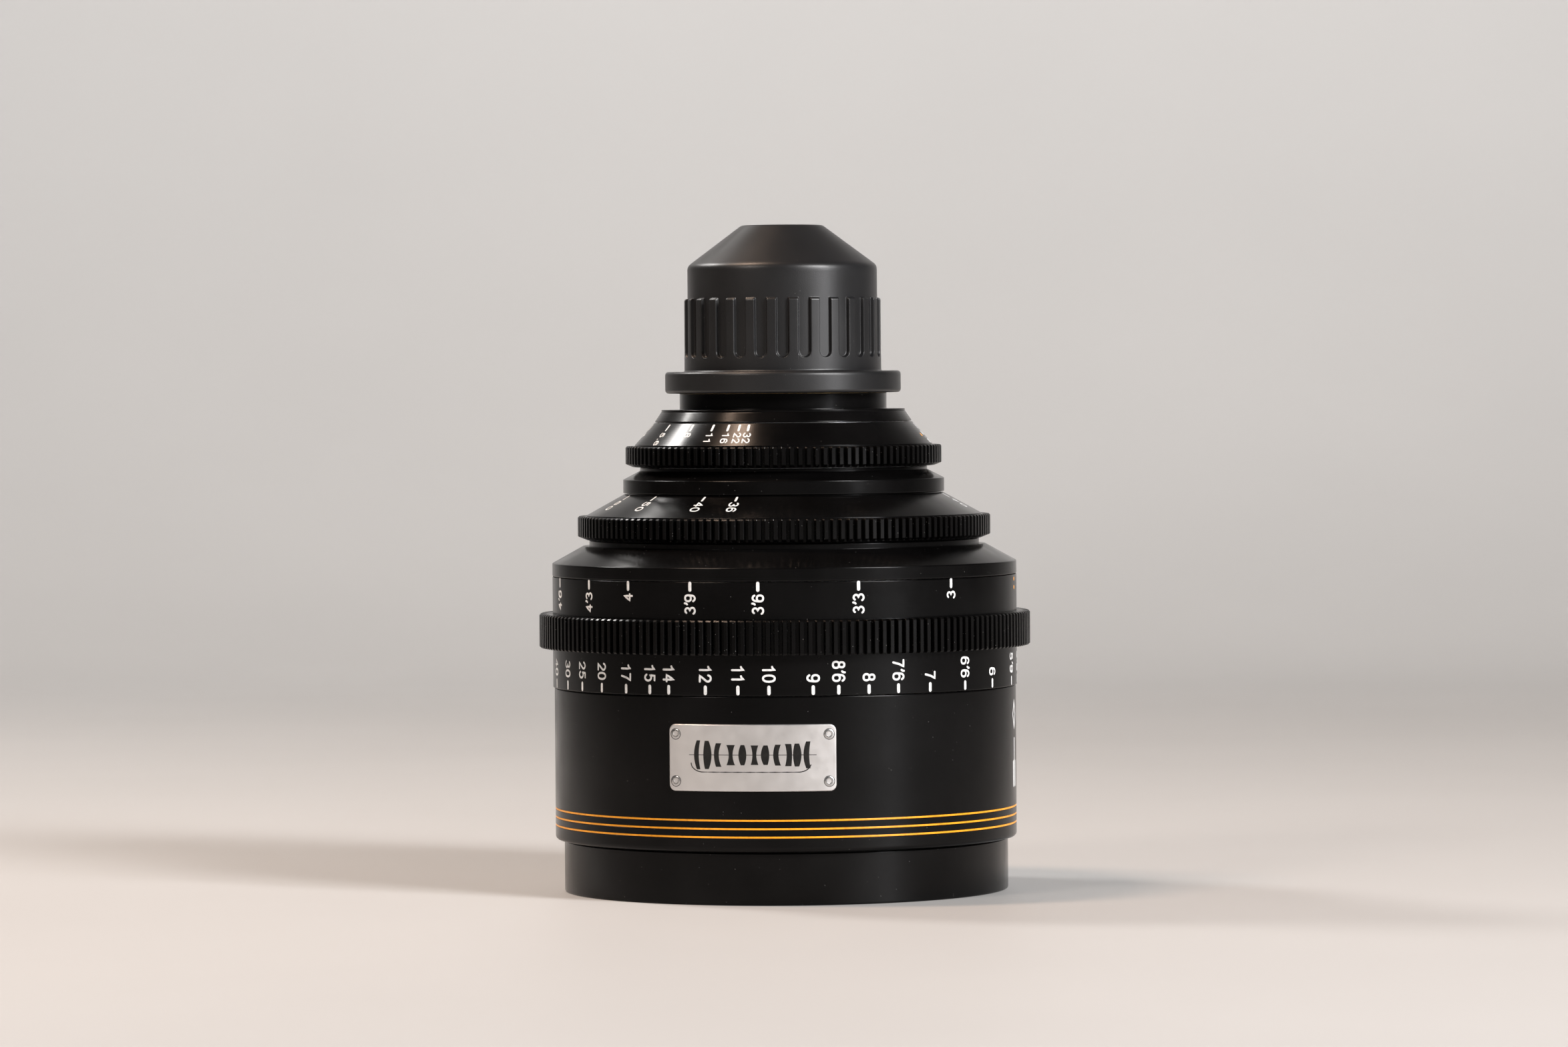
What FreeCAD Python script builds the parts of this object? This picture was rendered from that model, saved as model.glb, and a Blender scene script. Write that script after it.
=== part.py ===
"""Zoom lens for a cinema camera, standing on its front ring with the rear cap on.

Millimetres. The optical axis is Z, the front rim is at z = 0 and the camera mount points up.
Angles are degrees round Z, counter-clockwise seen from the mount, from +X. The scales and the
nameplate face -Y. Fixed shells are joined face to face; turning and sliding pieces have a
running fit on the tube that guides them.
"""
import FreeCAD, Part
import math
import os
import Sketcher

Vector = FreeCAD.Vector
AXIS = Vector(0, 0, 1)
doc = FreeCAD.newDocument("cine_zoom_lens")
sheet = doc.addObject("Spreadsheet::Sheet", "Sizes")
sub_parts = []


# ---------------------------------------------------------------- driving sizes

class Size:
    """A number together with the sheet formula that gives it."""

    def __init__(self, value, formula):
        self.value = float(value)
        self.formula = formula

    def __add__(self, other):
        other = as_size(other)
        return Size(self.value + other.value, f"({self.formula} + {other.formula})")

    def __sub__(self, other):
        other = as_size(other)
        return Size(self.value - other.value, f"({self.formula} - {other.formula})")

    def __mul__(self, other):
        other = as_size(other)
        return Size(self.value * other.value, f"({self.formula} * {other.formula})")

    def __truediv__(self, other):
        other = as_size(other)
        return Size(self.value / other.value, f"({self.formula} / {other.formula})")

    def __neg__(self):
        return Size(-self.value, f"(0 - {self.formula})")

    __radd__ = __add__
    __rmul__ = __mul__


def as_size(number):
    if isinstance(number, Size):
        return number
    return Size(number, f"({number})" if number < 0 else f"{number}")


def square_root(size):
    return Size(math.sqrt(size.value), f"sqrt({size.formula})")


def size(alias, value, meaning):
    """One row of the sheet: name, value, meaning."""
    size.row = getattr(size, "row", 0) + 1
    sheet.set(f"A{size.row}", alias)
    sheet.set(f"B{size.row}", str(value))
    sheet.set(f"C{size.row}", meaning)
    sheet.setAlias(f"B{size.row}", alias)
    return Size(value, f"Sizes.{alias}")


running = size("running_fit", 0.05, "radial clearance of a turning or sliding fit")
gap = size("shell_gap", 0.2, "axial gap between a fixed shell and a turning ring")
module = size("gear_module", 0.8, "module of the three geared rings")

front_r = size("front_radius", 68.0, "outside radius of the front ring")
front_top = size("front_ring_top", 15.6, "height of the front ring's outside")
filter_r = size("filter_radius", 63.5, "radius of the filter thread")
filter_depth = size("filter_depth", 6.0, "depth of the filter thread")
spigot_r = size("front_spigot_radius", 66.4, "front ring's spigot in the barrel")

barrel_r = size("barrel_radius", 70.7, "outside radius of the front barrel")
barrel_bottom = size("barrel_bottom", 16.0, "lower end of the front barrel")
barrel_seat = size("barrel_seat", 20.0, "seat of the front ring in the barrel")
barrel_top = size("barrel_top", 62.3, "upper end of the front barrel")
stripe_low = size("stripe_low", 20.5, "height of the lowest painted groove")
stripe_pitch = size("stripe_pitch", 2.5, "spacing of the painted grooves")
stripe_width = size("stripe_width", 0.6, "width of a painted groove")
stripe_depth = size("stripe_depth", 0.2, "depth of a painted groove")

plate_low = size("plate_low", 34.2, "lower edge of the nameplate")
plate_tall = size("plate_height", 19.9, "height of the nameplate")
plate_thick = size("plate_thickness", 0.8, "thickness of the nameplate")
plate_span = size("plate_span", 41.2, "angle the nameplate covers")
plate_middle = size("plate_middle", 261.6, "direction of the nameplate's middle")
plate_corner = size("plate_corner", 2.0, "corner radius of the nameplate")
plate_screw_span = size("plate_screw_span", 37.6, "angle between the plate's screws")
plate_screw_rise = size("plate_screw_rise", 14.0, "height between the plate's screws")
plate_screw_r = size("plate_screw_radius", 1.5, "radius of a nameplate screw")

tube_r = size("main_tube_radius", 65.5, "outside radius of the main tube")
tube_bore = size("main_tube_bore", 62.5, "bore of the main tube")
tube_top = size("main_tube_top", 100.3, "upper end of the main tube")

focus_low = size("focus_low", 62.5, "lower edge of the focus ring")
focus_top = size("focus_top", 96.3, "upper edge of the focus ring")
focus_r = size("focus_radius", 71.1, "outside radius of the focus ring's bands")
focus_gear_low = size("focus_gear_low", 74.7, "lower face of the focus gear")
focus_gear_top = size("focus_gear_top", 85.0, "upper face of the focus gear")
focus_teeth = size("focus_teeth", 186, "teeth of the focus gear")
focus_cam_r = size("focus_cam_radius", 68.6, "outside radius of the focus cam")
focus_lead = size("focus_lead", 12.7, "travel of the front cell for one turn")
focus_near = size("focus_near", 150, "turn from rest to the near stop")
focus_far = size("focus_far", 190, "turn from rest to the far stop")
focus_pin_r = size("focus_pin_radius", 1.4, "radius of a focus follower")
focus_pin_z = size("focus_pin_height", 81.0, "height of the focus followers at rest")

shoulder_low = size("shoulder_low", 96.5, "lower edge of the shoulder housing")
shoulder_edge = size("shoulder_edge", 100.4, "top of the focus index band")
neck_r = size("zoom_neck_radius", 59.7, "radius of the neck under the zoom ring")
neck_low = size("zoom_neck_low", 105.6, "height of the neck's foot")
neck_top = size("zoom_neck_top", 107.3, "height of the neck's top")
zoom_tube_r = size("zoom_tube_radius", 48.0, "tube that the zoom ring turns on")
zoom_tube_bore = size("zoom_tube_bore", 45.4, "bore of that tube")

zoom_low = size("zoom_low", 107.5, "lower face of the zoom ring")
zoom_gear_low = size("zoom_gear_low", 108.6, "where the zoom gear is full size")
zoom_gear_top = size("zoom_gear_top", 114.7, "upper face of the zoom gear")
zoom_teeth = size("zoom_teeth", 156, "teeth of the zoom gear")
zoom_foot_r = size("zoom_foot_radius", 60.4, "radius at the foot of the zoom scale")
zoom_crown_r = size("zoom_crown_radius", 49.0, "radius at the top of the zoom scale")
zoom_top = size("zoom_top", 121.3, "upper edge of the zoom ring")
zoom_wide = size("zoom_wide", 72, "turn from rest to the wide end")
zoom_tele = size("zoom_tele", 43, "turn from rest to the long end")
zoom_travel = size("zoom_travel", 22.0, "whole travel of the zoom carriage")
zoom_pin_r = size("zoom_pin_radius", 2.0, "radius of the zoom drive pin")
zoom_pin_z = size("zoom_pin_height", 112.0, "height of the zoom drive pin")

collar_low = size("collar_low", 121.7, "lower face of the zoom index collar")
collar_edge = size("collar_edge", 125.8, "top of the zoom index band")
collar_r = size("collar_radius", 49.2, "radius of the zoom index band")
collar_neck_r = size("collar_neck_radius", 44.0, "neck under the iris ring")
collar_top = size("collar_top", 129.4, "top of the collar")

guide_r = size("guide_radius", 42.1, "outside radius of the guide tube")
guide_bore = size("guide_bore", 39.5, "bore of the guide tube")
guide_low = size("guide_low", 47.5, "lower end of the guide tube")
guide_top = size("guide_top", 118.0, "upper end of the guide tube")
cam_r = size("cam_radius", 45.2, "outside radius of the zoom cam sleeve")
follower_r = size("follower_radius", 1.6, "radius of a carriage follower")
follower_z = size("follower_height", 74.0, "height of the carriage followers at rest")

rear_r = size("rear_tube_radius", 38.0, "tube that the iris ring turns on")
rear_bore = size("rear_tube_bore", 35.5, "bore of that tube")
rear_top = size("rear_tube_top", 143.3, "shoulder under the iris index cone")
lip_low = size("lip_low", 146.4, "lower face of the mount lip")

iris_low = size("iris_low", 129.7, "lower face of the iris ring")
iris_gear_low = size("iris_gear_low", 130.6, "where the iris gear is full size")
iris_gear_top = size("iris_gear_top", 136.0, "upper face of the iris gear")
iris_teeth = size("iris_teeth", 119, "teeth of the iris gear")
iris_foot_r = size("iris_foot_radius", 45.5, "radius at the foot of the iris scale")
iris_crown_r = size("iris_crown_radius", 39.5, "radius at the top of the iris scale")
iris_top = size("iris_top", 143.1, "upper edge of the iris ring")
iris_range = size("iris_range", 75, "turn from open to closed")
iris_pin_r = size("iris_pin_radius", 1.2, "radius of the iris drive pin")
iris_pin_z = size("iris_pin_height", 136.5, "height of the iris drive pin")

blade_count = size("blade_count", 6, "iris blades")
blade_turn = size("blade_turn", 28, "turn of a blade from open to closed")
blade_pivot_r = size("blade_pivot_circle", 29.5, "radius of the circle of blade pivots")
blade_inner = size("blade_inner", 17.0, "inner radius of an open blade")
blade_outer = size("blade_outer", 27.5, "outer radius of an open blade")
blade_span = size("blade_span", 116, "angle that a blade covers")
blade_sheet = size("blade_sheet", 0.25, "thickness of a blade")
blade_pitch = size("blade_pitch", 0.4, "height from one blade to the next")
blade_low = size("blade_low", 131.45, "height of the lowest blade")
blade_tail = size("blade_tail", 7.0, "distance from a blade's pivot to its drive stud")
blade_stud_r = size("blade_stud_radius", 0.5, "radius of a blade's studs")
web_low = size("actuator_low", 134.2, "lower face of the iris actuator")
web_thick = size("actuator_web", 1.0, "thickness of the actuator's slotted web")

mount_bore = size("mount_bore", 24.5, "bore of the camera mount")
mount_neck_r = size("mount_neck_radius", 31.7, "outside radius of the mount neck")
mount_low = size("mount_low", 152.3, "lower face of the camera mount")
mount_shim_low = size("mount_shim_low", 152.0, "lower face of the mount shim")
wing_r = size("wing_radius", 34.0, "radius over the mount's wings")
wing_top = size("wing_top", 156.3, "upper face of the wings")
throat_r = size("throat_radius", 27.0, "outside radius of the mount's rear barrel")
throat_top = size("throat_top", 186.5, "rear end of the mount's barrel")
mount_screw_circle = size("mount_screw_circle", 30.0, "radius of the circle of mount screws")

cap_low = size("cap_low", 152.05, "lower face of the rear cap")
cap_flange_r = size("cap_flange_radius", 36.1, "radius of the cap's flange")
cap_flange_top = size("cap_flange_top", 158.7, "top of the cap's flange")
cap_rib_r = size("cap_rib_radius", 30.14, "radius over the cap's grip ribs")
cap_rib_top = size("cap_rib_top", 181.0, "top of the grip ribs")
cap_body_r = size("cap_body_radius", 29.05, "radius between the ribs and above them")
cap_shoulder = size("cap_shoulder", 190.6, "height of the cap's shoulder")
cap_top = size("cap_top", 203.4, "top of the cap")
cap_grooves = size("cap_grooves", 28, "grip grooves round the cap")
cap_groove_half = size("cap_groove_half", 1.9, "half the width of a grip groove")

cell_front = size("cell_front", 24.0, "front face of the front cell")
cell_back = size("cell_back", 86.0, "rear end of the front cell's skirt")
front_glass_r = size("front_glass_radius", 52.0, "radius of the front lens")
second_glass_r = size("second_glass_radius", 50.5, "radius of the second lens")
retainer_r = size("front_retainer_radius", 56.0, "outside radius of the front retainer")
carriage_low = size("carriage_low", 56.0, "front end of the zoom carriage")
carriage_top = size("carriage_top", 104.0, "rear end of the zoom carriage")
zoom_glass_r = size("zoom_glass_radius", 36.5, "radius of the two zooming lenses")
fixed_z = size("fixed_cell_height", 84.0, "height of the fixed cell's middle")
fixed_screw_r = size("fixed_screw_radius", 1.5, "radius of a fixed cell screw")
fixed_glass_r = size("fixed_glass_radius", 33.0, "radius of the fixed lens")
relay_front_r = size("relay_front_radius", 29.0, "radius of the relay's front lens")
relay_seat = size("relay_seat", 127.0, "seat of the relay's front lens")
wing_gap_half = size("wing_gap_half", 9.0, "half the gap between two wings")
relay_low = size("relay_low", 143.0, "front end of the relay's rear cell")
relay_high = size("relay_high", 184.0, "rear end of the relay's rear cell")
relay_glass_r = size("relay_glass_radius", 21.5, "radius of the relay's rear lenses")
lens_rim = size("lens_rim", 3.1, "width of a lens's flat ground rim")


# ---------------------------------------------------------------- shared ways of making

def origin_feature(body, role):
    return next(feature for feature in body.Origin.OriginFeatures if feature.Role == role)


def bind(target, path, amount):
    """Give a property a value, and the sheet formula behind it if it has one."""
    amount = as_size(amount)
    if "Sizes." in amount.formula:
        target.setExpression(path, amount.formula)
    return amount.value


def arc_through(start, end, radius):
    """The arc from start to end; a positive radius bulges to the right of the way it is drawn."""
    chord = end - start
    half = chord.Length / 2
    side = Vector(chord.y, -chord.x, 0).normalize() * (1 if radius > 0 else -1)
    sag = abs(radius) - math.sqrt(radius * radius - half * half)
    return Part.Arc(start, start + chord / 2 + side * sag, end)


def outline(body, name, plane, points, arcs=None, lift=0, turn=0):
    """A closed sketch whose corners are held at their distances from the origin.

    arcs maps a corner's number to the radius of the arc that leaves it.
    """
    arcs = arcs or {}
    sketch = body.newObject("Sketcher::SketchObject", name)
    sketch.AttachmentSupport = [(origin_feature(body, plane), "")]
    sketch.MapMode = "FlatFace"
    spin = FreeCAD.Rotation(Vector(0, 1, 0), turn)
    sketch.AttachmentOffset = FreeCAD.Placement(Vector(0, 0, as_size(lift).value), spin)
    corners = [Vector(as_size(x).value, as_size(y).value, 0) for x, y in points]
    count = len(corners)
    ends = []
    for i, start in enumerate(corners):
        end = corners[(i + 1) % count]
        radius = as_size(arcs.get(i, 0)).value
        if radius:
            sketch.addGeometry(arc_through(start, end, radius), False)
            ends.append((1, 2) if radius > 0 else (2, 1))
        else:
            sketch.addGeometry(Part.LineSegment(start, end), False)
            ends.append((1, 2))
    for i in range(count):
        after = (i + 1) % count
        sketch.addConstraint(Sketcher.Constraint("Coincident", i, ends[i][1], after, ends[after][0]))
    for i, (x, y) in enumerate(points):
        for kind, along, amount in (("DistanceX", -2, x), ("DistanceY", -1, y)):
            value = as_size(amount).value
            if value == 0:
                sketch.addConstraint(Sketcher.Constraint("PointOnObject", i, ends[i][0], along))
                continue
            held = sketch.addConstraint(Sketcher.Constraint(kind, -1, 1, i, ends[i][0], value))
            bind(sketch, f"Constraints[{held}]", amount)
    for i, radius in arcs.items():
        length = radius if as_size(radius).value > 0 else -radius
        held = sketch.addConstraint(Sketcher.Constraint("Radius", i, as_size(length).value))
        bind(sketch, f"Constraints[{held}]", length)
    return sketch


def turned(label, points, arcs=None):
    """A body turned about Z from its half section, given as (radius, height) corners."""
    body = doc.addObject("PartDesign::Body", label)
    sketch = outline(body, f"{label}_section", "XZ_Plane", points, arcs)
    spin = body.newObject("PartDesign::Revolution", f"{label}_turned")
    spin.Profile = sketch
    spin.ReferenceAxis = (sketch, ["V_Axis"])
    spin.Angle = 360
    body.Tip = spin
    doc.recompute()
    return body


def tube(label, inner, outer, low, high):
    return turned(label, [(inner, low), (outer, low), (outer, high), (inner, high)])


def repeated(body, feature, count, name):
    """The feature, count times round the axis."""
    pattern = body.newObject("PartDesign::PolarPattern", name)
    pattern.Originals = [feature]
    pattern.Axis = (origin_feature(body, "Z_Axis"), [""])
    pattern.Angle = 360
    pattern.Occurrences = int(bind(pattern, "Occurrences", count))
    body.Tip = pattern
    doc.recompute()


def cut_along(body, sketch, length, reverse, count=1):
    """A pocket from the sketch, which has to take something away, repeated round the axis."""
    before = body.Shape.Volume
    pocket = body.newObject("PartDesign::Pocket", f"{sketch.Name}_cut")
    pocket.Profile = sketch
    pocket.Length = bind(pocket, "Length", length)
    pocket.Reversed = reverse
    body.Tip = pocket
    doc.recompute()
    if body.Shape.Volume > before - 1e-6:
        raise RuntimeError(f"{pocket.Name} cuts nothing")
    if as_size(count).value > 1:
        repeated(body, pocket, count, f"{sketch.Name}_round")


def cut_gear(body, name, teeth, low, high):
    """Straight-sided tooth spaces of a rack-like rim gear, all round the ring."""
    tip = module * (teeth + 2) / 2
    root = tip - module * 2.25
    lean = math.tan(math.radians(20))
    root_half = module * (math.pi / 4 - 1.25 * lean)
    clear = 0.4
    tip_half = module * (math.pi / 4 + lean) + clear * lean
    over = tip + clear
    points = [(root, -root_half), (over, -tip_half), (over, tip_half), (root, root_half)]
    sketch = outline(body, name, "XY_Plane", points, lift=low - clear)
    cut_along(body, sketch, high - low + 2 * clear, True, teeth)


def cut_windows(body, name, half, low, high, count, behind=False):
    """Axial slots through a tube's wall; the first is on +X, or on -X if behind."""
    reach = 80
    points = [(-half, low), (half, low), (half, high), (-half, high)]
    sketch = outline(body, name, "YZ_Plane", points)
    cut_along(body, sketch, reach, not behind, count)


def cut_arc_slot(body, name, inner, outer, height, half, start, span):
    """A slot that runs part of the way round a tube, for a drive pin."""
    before = body.Shape.Volume
    points = [(inner, height - half), (outer, height - half),
              (outer, height + half), (inner, height + half)]
    sketch = outline(body, name, "XZ_Plane", points, turn=start)
    groove = body.newObject("PartDesign::Groove", f"{name}_cut")
    groove.Profile = sketch
    groove.ReferenceAxis = (sketch, ["V_Axis"])
    groove.Angle = bind(groove, "Angle", span)
    body.Tip = groove
    doc.recompute()
    if body.Shape.Volume > before - 1e-6:
        raise RuntimeError(f"{name} cuts nothing")


def cylinder(name, radius, length):
    rod = doc.addObject("Part::Cylinder", name)
    rod.Radius = bind(rod, "Radius", radius)
    rod.Height = bind(rod, "Height", length)
    return rod


def radial_pins(label, radius, inner, outer, places):
    """Pins that point outwards from the axis; places are (direction, height) pairs."""
    pins = []
    for direction, height in places:
        pin = cylinder(f"{label}_{len(pins) + 1}", radius, outer - inner)
        angle = math.radians(as_size(direction).value)
        outwards = Vector(math.cos(angle), math.sin(angle), 0)
        foot = outwards * inner.value + AXIS * as_size(height).value
        pin.Placement = FreeCAD.Placement(foot, FreeCAD.Rotation(AXIS, outwards))
        pins.append(pin)
    return grouped(label, pins)


def grouped(label, pieces):
    if len(pieces) == 1:
        pieces[0].Label = label
        return pieces[0]
    group = doc.addObject("Part::Compound", label)
    group.Links = pieces
    return group


def less(label, base, tool):
    """The base with room cut for the tool."""
    base.Label = f"{label}_blank"
    result = doc.addObject("Part::Cut", f"{label}_fitted")
    result.Base = base
    result.Tool = tool
    result.Label = label
    doc.recompute()
    return result


def keep(*pieces):
    """These are sub-parts of the lens, and each gets a STEP file of its own."""
    sub_parts.extend(pieces)


def helical_slot(inner, outer, start, end, low, high, half, left_handed=False):
    """The space of a slot that climbs from (start, low) to (end, high) between two radii."""
    pitch = (high - low) / (end - start) * 360

    def edge(radius, shift):
        helix = Part.makeHelix(pitch, high - low, radius)
        helix.rotate(Vector(), AXIS, start)
        helix.translate(AXIS * (low + shift))
        return helix.Edges[0]

    rails = [edge(inner, -half), edge(outer, -half), edge(outer, half), edge(inner, half)]
    walls = [Part.makeRuledSurface(a, b) for a, b in zip(rails, rails[1:] + rails[:1])]
    for place in ("FirstParameter", "LastParameter"):
        corners = [rail.valueAt(getattr(rail, place)) for rail in rails]
        walls.append(Part.Face(Part.makePolygon(corners + corners[:1])))
    shell = Part.makeShell([face for wall in walls for face in wall.Faces])
    shell.sewShape()
    solid = Part.Solid(shell)
    if solid.Volume < 0:
        solid.reverse()
    return solid.mirror(Vector(), Vector(0, 1, 0)) if left_handed else solid


def lens_element(label, radius, front, back, front_curve, back_curve):
    """A lens with a flat ground rim; a positive curve bulges out of the glass."""
    clear = radius - lens_rim

    def vertex(rim, curve, outwards):
        bend = as_size(abs(curve))
        sag = bend - square_root(bend * bend - clear * clear)
        return rim + sag * (outwards if curve > 0 else -outwards)

    points = [(0, vertex(front, front_curve, -1)), (clear, front), (radius, front),
              (radius, back), (clear, back), (0, vertex(back, back_curve, 1))]
    return turned(label, points, {0: front_curve, 4: back_curve})


# ---------------------------------------------------------------- front end, fixed

front_ring = turned("front_ring", [
    (filter_r, 0), (front_r - 0.5, 0), (front_r, 0.5), (front_r, front_top),
    (spigot_r, front_top), (spigot_r, barrel_seat), (tube_bore + 0.3, barrel_seat),
    (tube_bore + 0.3, filter_depth), (filter_r, filter_depth)])

edge_round = 1.1
front_barrel = turned("front_barrel", [
    (spigot_r, barrel_bottom), (barrel_r - edge_round, barrel_bottom),
    (barrel_r, barrel_bottom + edge_round), (barrel_r, barrel_top), (tube_r, barrel_top),
    (tube_r, barrel_top - 4), (tube_r + 2, barrel_top - 6), (tube_r + 2, barrel_seat + 6),
    (tube_r, barrel_seat + 4), (tube_r, barrel_seat), (spigot_r, barrel_seat)],
    {1: edge_round})
stripe = outline(front_barrel, "stripe", "XZ_Plane", [
    (barrel_r - stripe_depth, stripe_low - stripe_width / 2),
    (barrel_r + 1, stripe_low - stripe_width / 2),
    (barrel_r + 1, stripe_low + stripe_width / 2),
    (barrel_r - stripe_depth, stripe_low + stripe_width / 2)])
stripe_groove = front_barrel.newObject("PartDesign::Groove", "stripe_groove")
stripe_groove.Profile = stripe
stripe_groove.ReferenceAxis = (stripe, ["V_Axis"])
stripe_groove.Angle = 360
front_barrel.Tip = stripe_groove
doc.recompute()
stripes = front_barrel.newObject("PartDesign::LinearPattern", "stripes")
stripes.Originals = [stripe_groove]
stripes.Direction = (origin_feature(front_barrel, "Z_Axis"), [""])
stripes.Length = bind(stripes, "Length", stripe_pitch * 2)
stripes.Occurrences = 3
front_barrel.Tip = stripes
doc.recompute()

nameplate = doc.addObject("PartDesign::Body", "nameplate")
plate_section = outline(nameplate, "plate_section", "XZ_Plane", [
    (barrel_r, plate_low), (barrel_r + plate_thick, plate_low),
    (barrel_r + plate_thick, plate_low + plate_tall), (barrel_r, plate_low + plate_tall)])
plate_bend = nameplate.newObject("PartDesign::Revolution", "plate_bend")
plate_bend.Profile = plate_section
plate_bend.ReferenceAxis = (plate_section, ["V_Axis"])
plate_bend.Midplane = True
plate_bend.Angle = bind(plate_bend, "Angle", plate_span)
nameplate.Tip = plate_bend
doc.recompute()
corner_edges = [f"Edge{i + 1}" for i, edge in enumerate(plate_bend.Shape.Edges)
                if abs(edge.Length - plate_thick.value) < 1e-6]
plate_corners = nameplate.newObject("PartDesign::Fillet", "plate_corners")
plate_corners.Base = (plate_bend, corner_edges)
plate_corners.Radius = bind(plate_corners, "Radius", plate_corner)
nameplate.Tip = plate_corners
nameplate.Placement = FreeCAD.Placement(Vector(), FreeCAD.Rotation(AXIS, plate_middle.value))
doc.recompute()

plate_centre = plate_low + plate_tall / 2
plate_screws = radial_pins(
    "nameplate_screws", plate_screw_r, barrel_r - 2, barrel_r + plate_thick + 0.15,
    [(plate_middle + plate_screw_span * across / 2, plate_centre + plate_screw_rise * up / 2)
     for across in (-1, 1) for up in (-1, 1)])
keep(front_ring, less("front_barrel", front_barrel, plate_screws),
     less("nameplate", nameplate, plate_screws), plate_screws)

follower_places = [0, 120, 240]
main_tube = tube("main_tube", tube_bore, tube_r, barrel_seat, tube_top)
focus_rise = focus_lead * focus_far / 360
focus_drop = focus_lead * focus_near / 360
pin_room = 0.15
cut_windows(main_tube, "focus_guide", focus_pin_r + 0.05,
            focus_pin_z - focus_drop - focus_pin_r - pin_room,
            focus_pin_z + focus_rise + focus_pin_r + pin_room, len(follower_places))
keep(main_tube)


# ---------------------------------------------------------------- focus ring and front cell

focus_gear_r = module * (focus_teeth + 2) / 2
focus_ring = turned("focus_ring", [
    (focus_cam_r, focus_low), (focus_r, focus_low), (focus_r, focus_gear_low),
    (focus_gear_r, focus_gear_low), (focus_gear_r, focus_gear_top), (focus_r, focus_gear_top),
    (focus_r, focus_top), (focus_cam_r, focus_top)])
cut_gear(focus_ring, "focus_gap", focus_teeth, focus_gear_low, focus_gear_top)

focus_cam_blank = tube("focus_cam_blank", tube_r + running, focus_cam_r,
                       focus_low + 0.5, focus_top - gap)
groove_depth = 1.9
groove_end = math.degrees((focus_pin_r.value + pin_room) / tube_r.value)
focus_tracks = doc.addObject("Part::Feature", "focus_tracks")
groove_turn = focus_near.value + focus_far.value + 2 * groove_end
groove_parts = 8


def focus_height(turn):
    """Height of a follower's groove, at a turn from its start."""
    return focus_pin_z.value + focus_lead.value * (turn - focus_near.value - groove_end) / 360


focus_tracks.Shape = Part.makeCompound([
    helical_slot(tube_r.value - 0.5, tube_r.value + groove_depth,
                 start - place - focus_near.value - groove_end,
                 end - place - focus_near.value - groove_end,
                 focus_height(start), focus_height(end), focus_pin_r.value + 0.1,
                 left_handed=True)
    for place in follower_places
    for start, end in ((groove_turn * part / groove_parts, groove_turn * (part + 1) / groove_parts)
                       for part in range(groove_parts))])
keep(focus_ring, less("focus_cam", focus_cam_blank, focus_tracks))

cell_r = tube_bore - running
skirt_bore = tube_bore - 2.9
focus_cell = turned("focus_cell", [
    (retainer_r, cell_front), (cell_r, cell_front), (cell_r, cell_back),
    (skirt_bore, cell_back), (skirt_bore, cell_front + 19.5), (second_glass_r, cell_front + 19.5),
    (second_glass_r, cell_front + 12), (second_glass_r - 1.2, cell_front + 12),
    (second_glass_r - 1.2, cell_front + 10), (front_glass_r, cell_front + 10),
    (front_glass_r, cell_front + 3.5), (retainer_r, cell_front + 3.5)])
focus_followers = radial_pins("focus_followers", focus_pin_r, skirt_bore + 0.6,
                              tube_r + groove_depth - 0.2,
                              [(place, focus_pin_z) for place in follower_places])
front_retainer = turned("front_retainer", [
    (front_glass_r - 1.6, cell_front + 3.5), (front_glass_r + 1.2, cell_front),
    (retainer_r, cell_front), (retainer_r, cell_front + 3.5)])
cut_windows(front_retainer, "spanner_notch", 1.5, cell_front - 1, cell_front + 1.4, 2)
second_retainer = tube("second_retainer", second_glass_r - 2.6, second_glass_r,
                       cell_front + 17, cell_front + 19.5)
front_lens = lens_element("front_lens", front_glass_r, cell_front + 3.5, cell_front + 10,
                          260, -450)
second_lens = lens_element("second_lens", second_glass_r, cell_front + 12, cell_front + 17,
                           300, -180)
keep(less("focus_cell", focus_cell, focus_followers), focus_followers, front_lens,
     front_retainer, second_lens, second_retainer)


# ---------------------------------------------------------------- shoulder and zoom ring

shoulder = turned("shoulder_housing", [
    (tube_r, shoulder_low), (focus_r, shoulder_low), (focus_r, shoulder_edge),
    (neck_r + 2, neck_low), (neck_r, neck_low), (neck_r, neck_top),
    (zoom_tube_r, neck_top), (zoom_tube_r, collar_low), (zoom_tube_bore, collar_low),
    (zoom_tube_bore, tube_top), (tube_r, tube_top)])
zoom_pin_place = 180
zoom_pin_swing = math.degrees((zoom_pin_r.value + pin_room) / zoom_tube_bore.value)
cut_arc_slot(shoulder, "zoom_pin_slot", zoom_tube_bore - 1, zoom_tube_r + 1, zoom_pin_z,
             zoom_pin_r + 0.1, zoom_pin_place - zoom_wide.value - zoom_pin_swing,
             zoom_wide + zoom_tele + 2 * zoom_pin_swing)

zoom_gear_r = module * (zoom_teeth + 2) / 2
zoom_ring = turned("zoom_ring", [
    (zoom_tube_r + running, zoom_low), (zoom_gear_r - 2.7, zoom_low),
    (zoom_gear_r, zoom_gear_low), (zoom_gear_r, zoom_gear_top),
    (zoom_foot_r, zoom_gear_top + 0.3), (zoom_crown_r, zoom_top),
    (zoom_tube_r + running, zoom_top)])
cut_gear(zoom_ring, "zoom_gap", zoom_teeth, zoom_low, zoom_gear_top)
zoom_drive_pin = radial_pins("zoom_drive_pin", zoom_pin_r, guide_r + 0.7, zoom_tube_r + 7,
                             [(zoom_pin_place, zoom_pin_z)])

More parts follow.
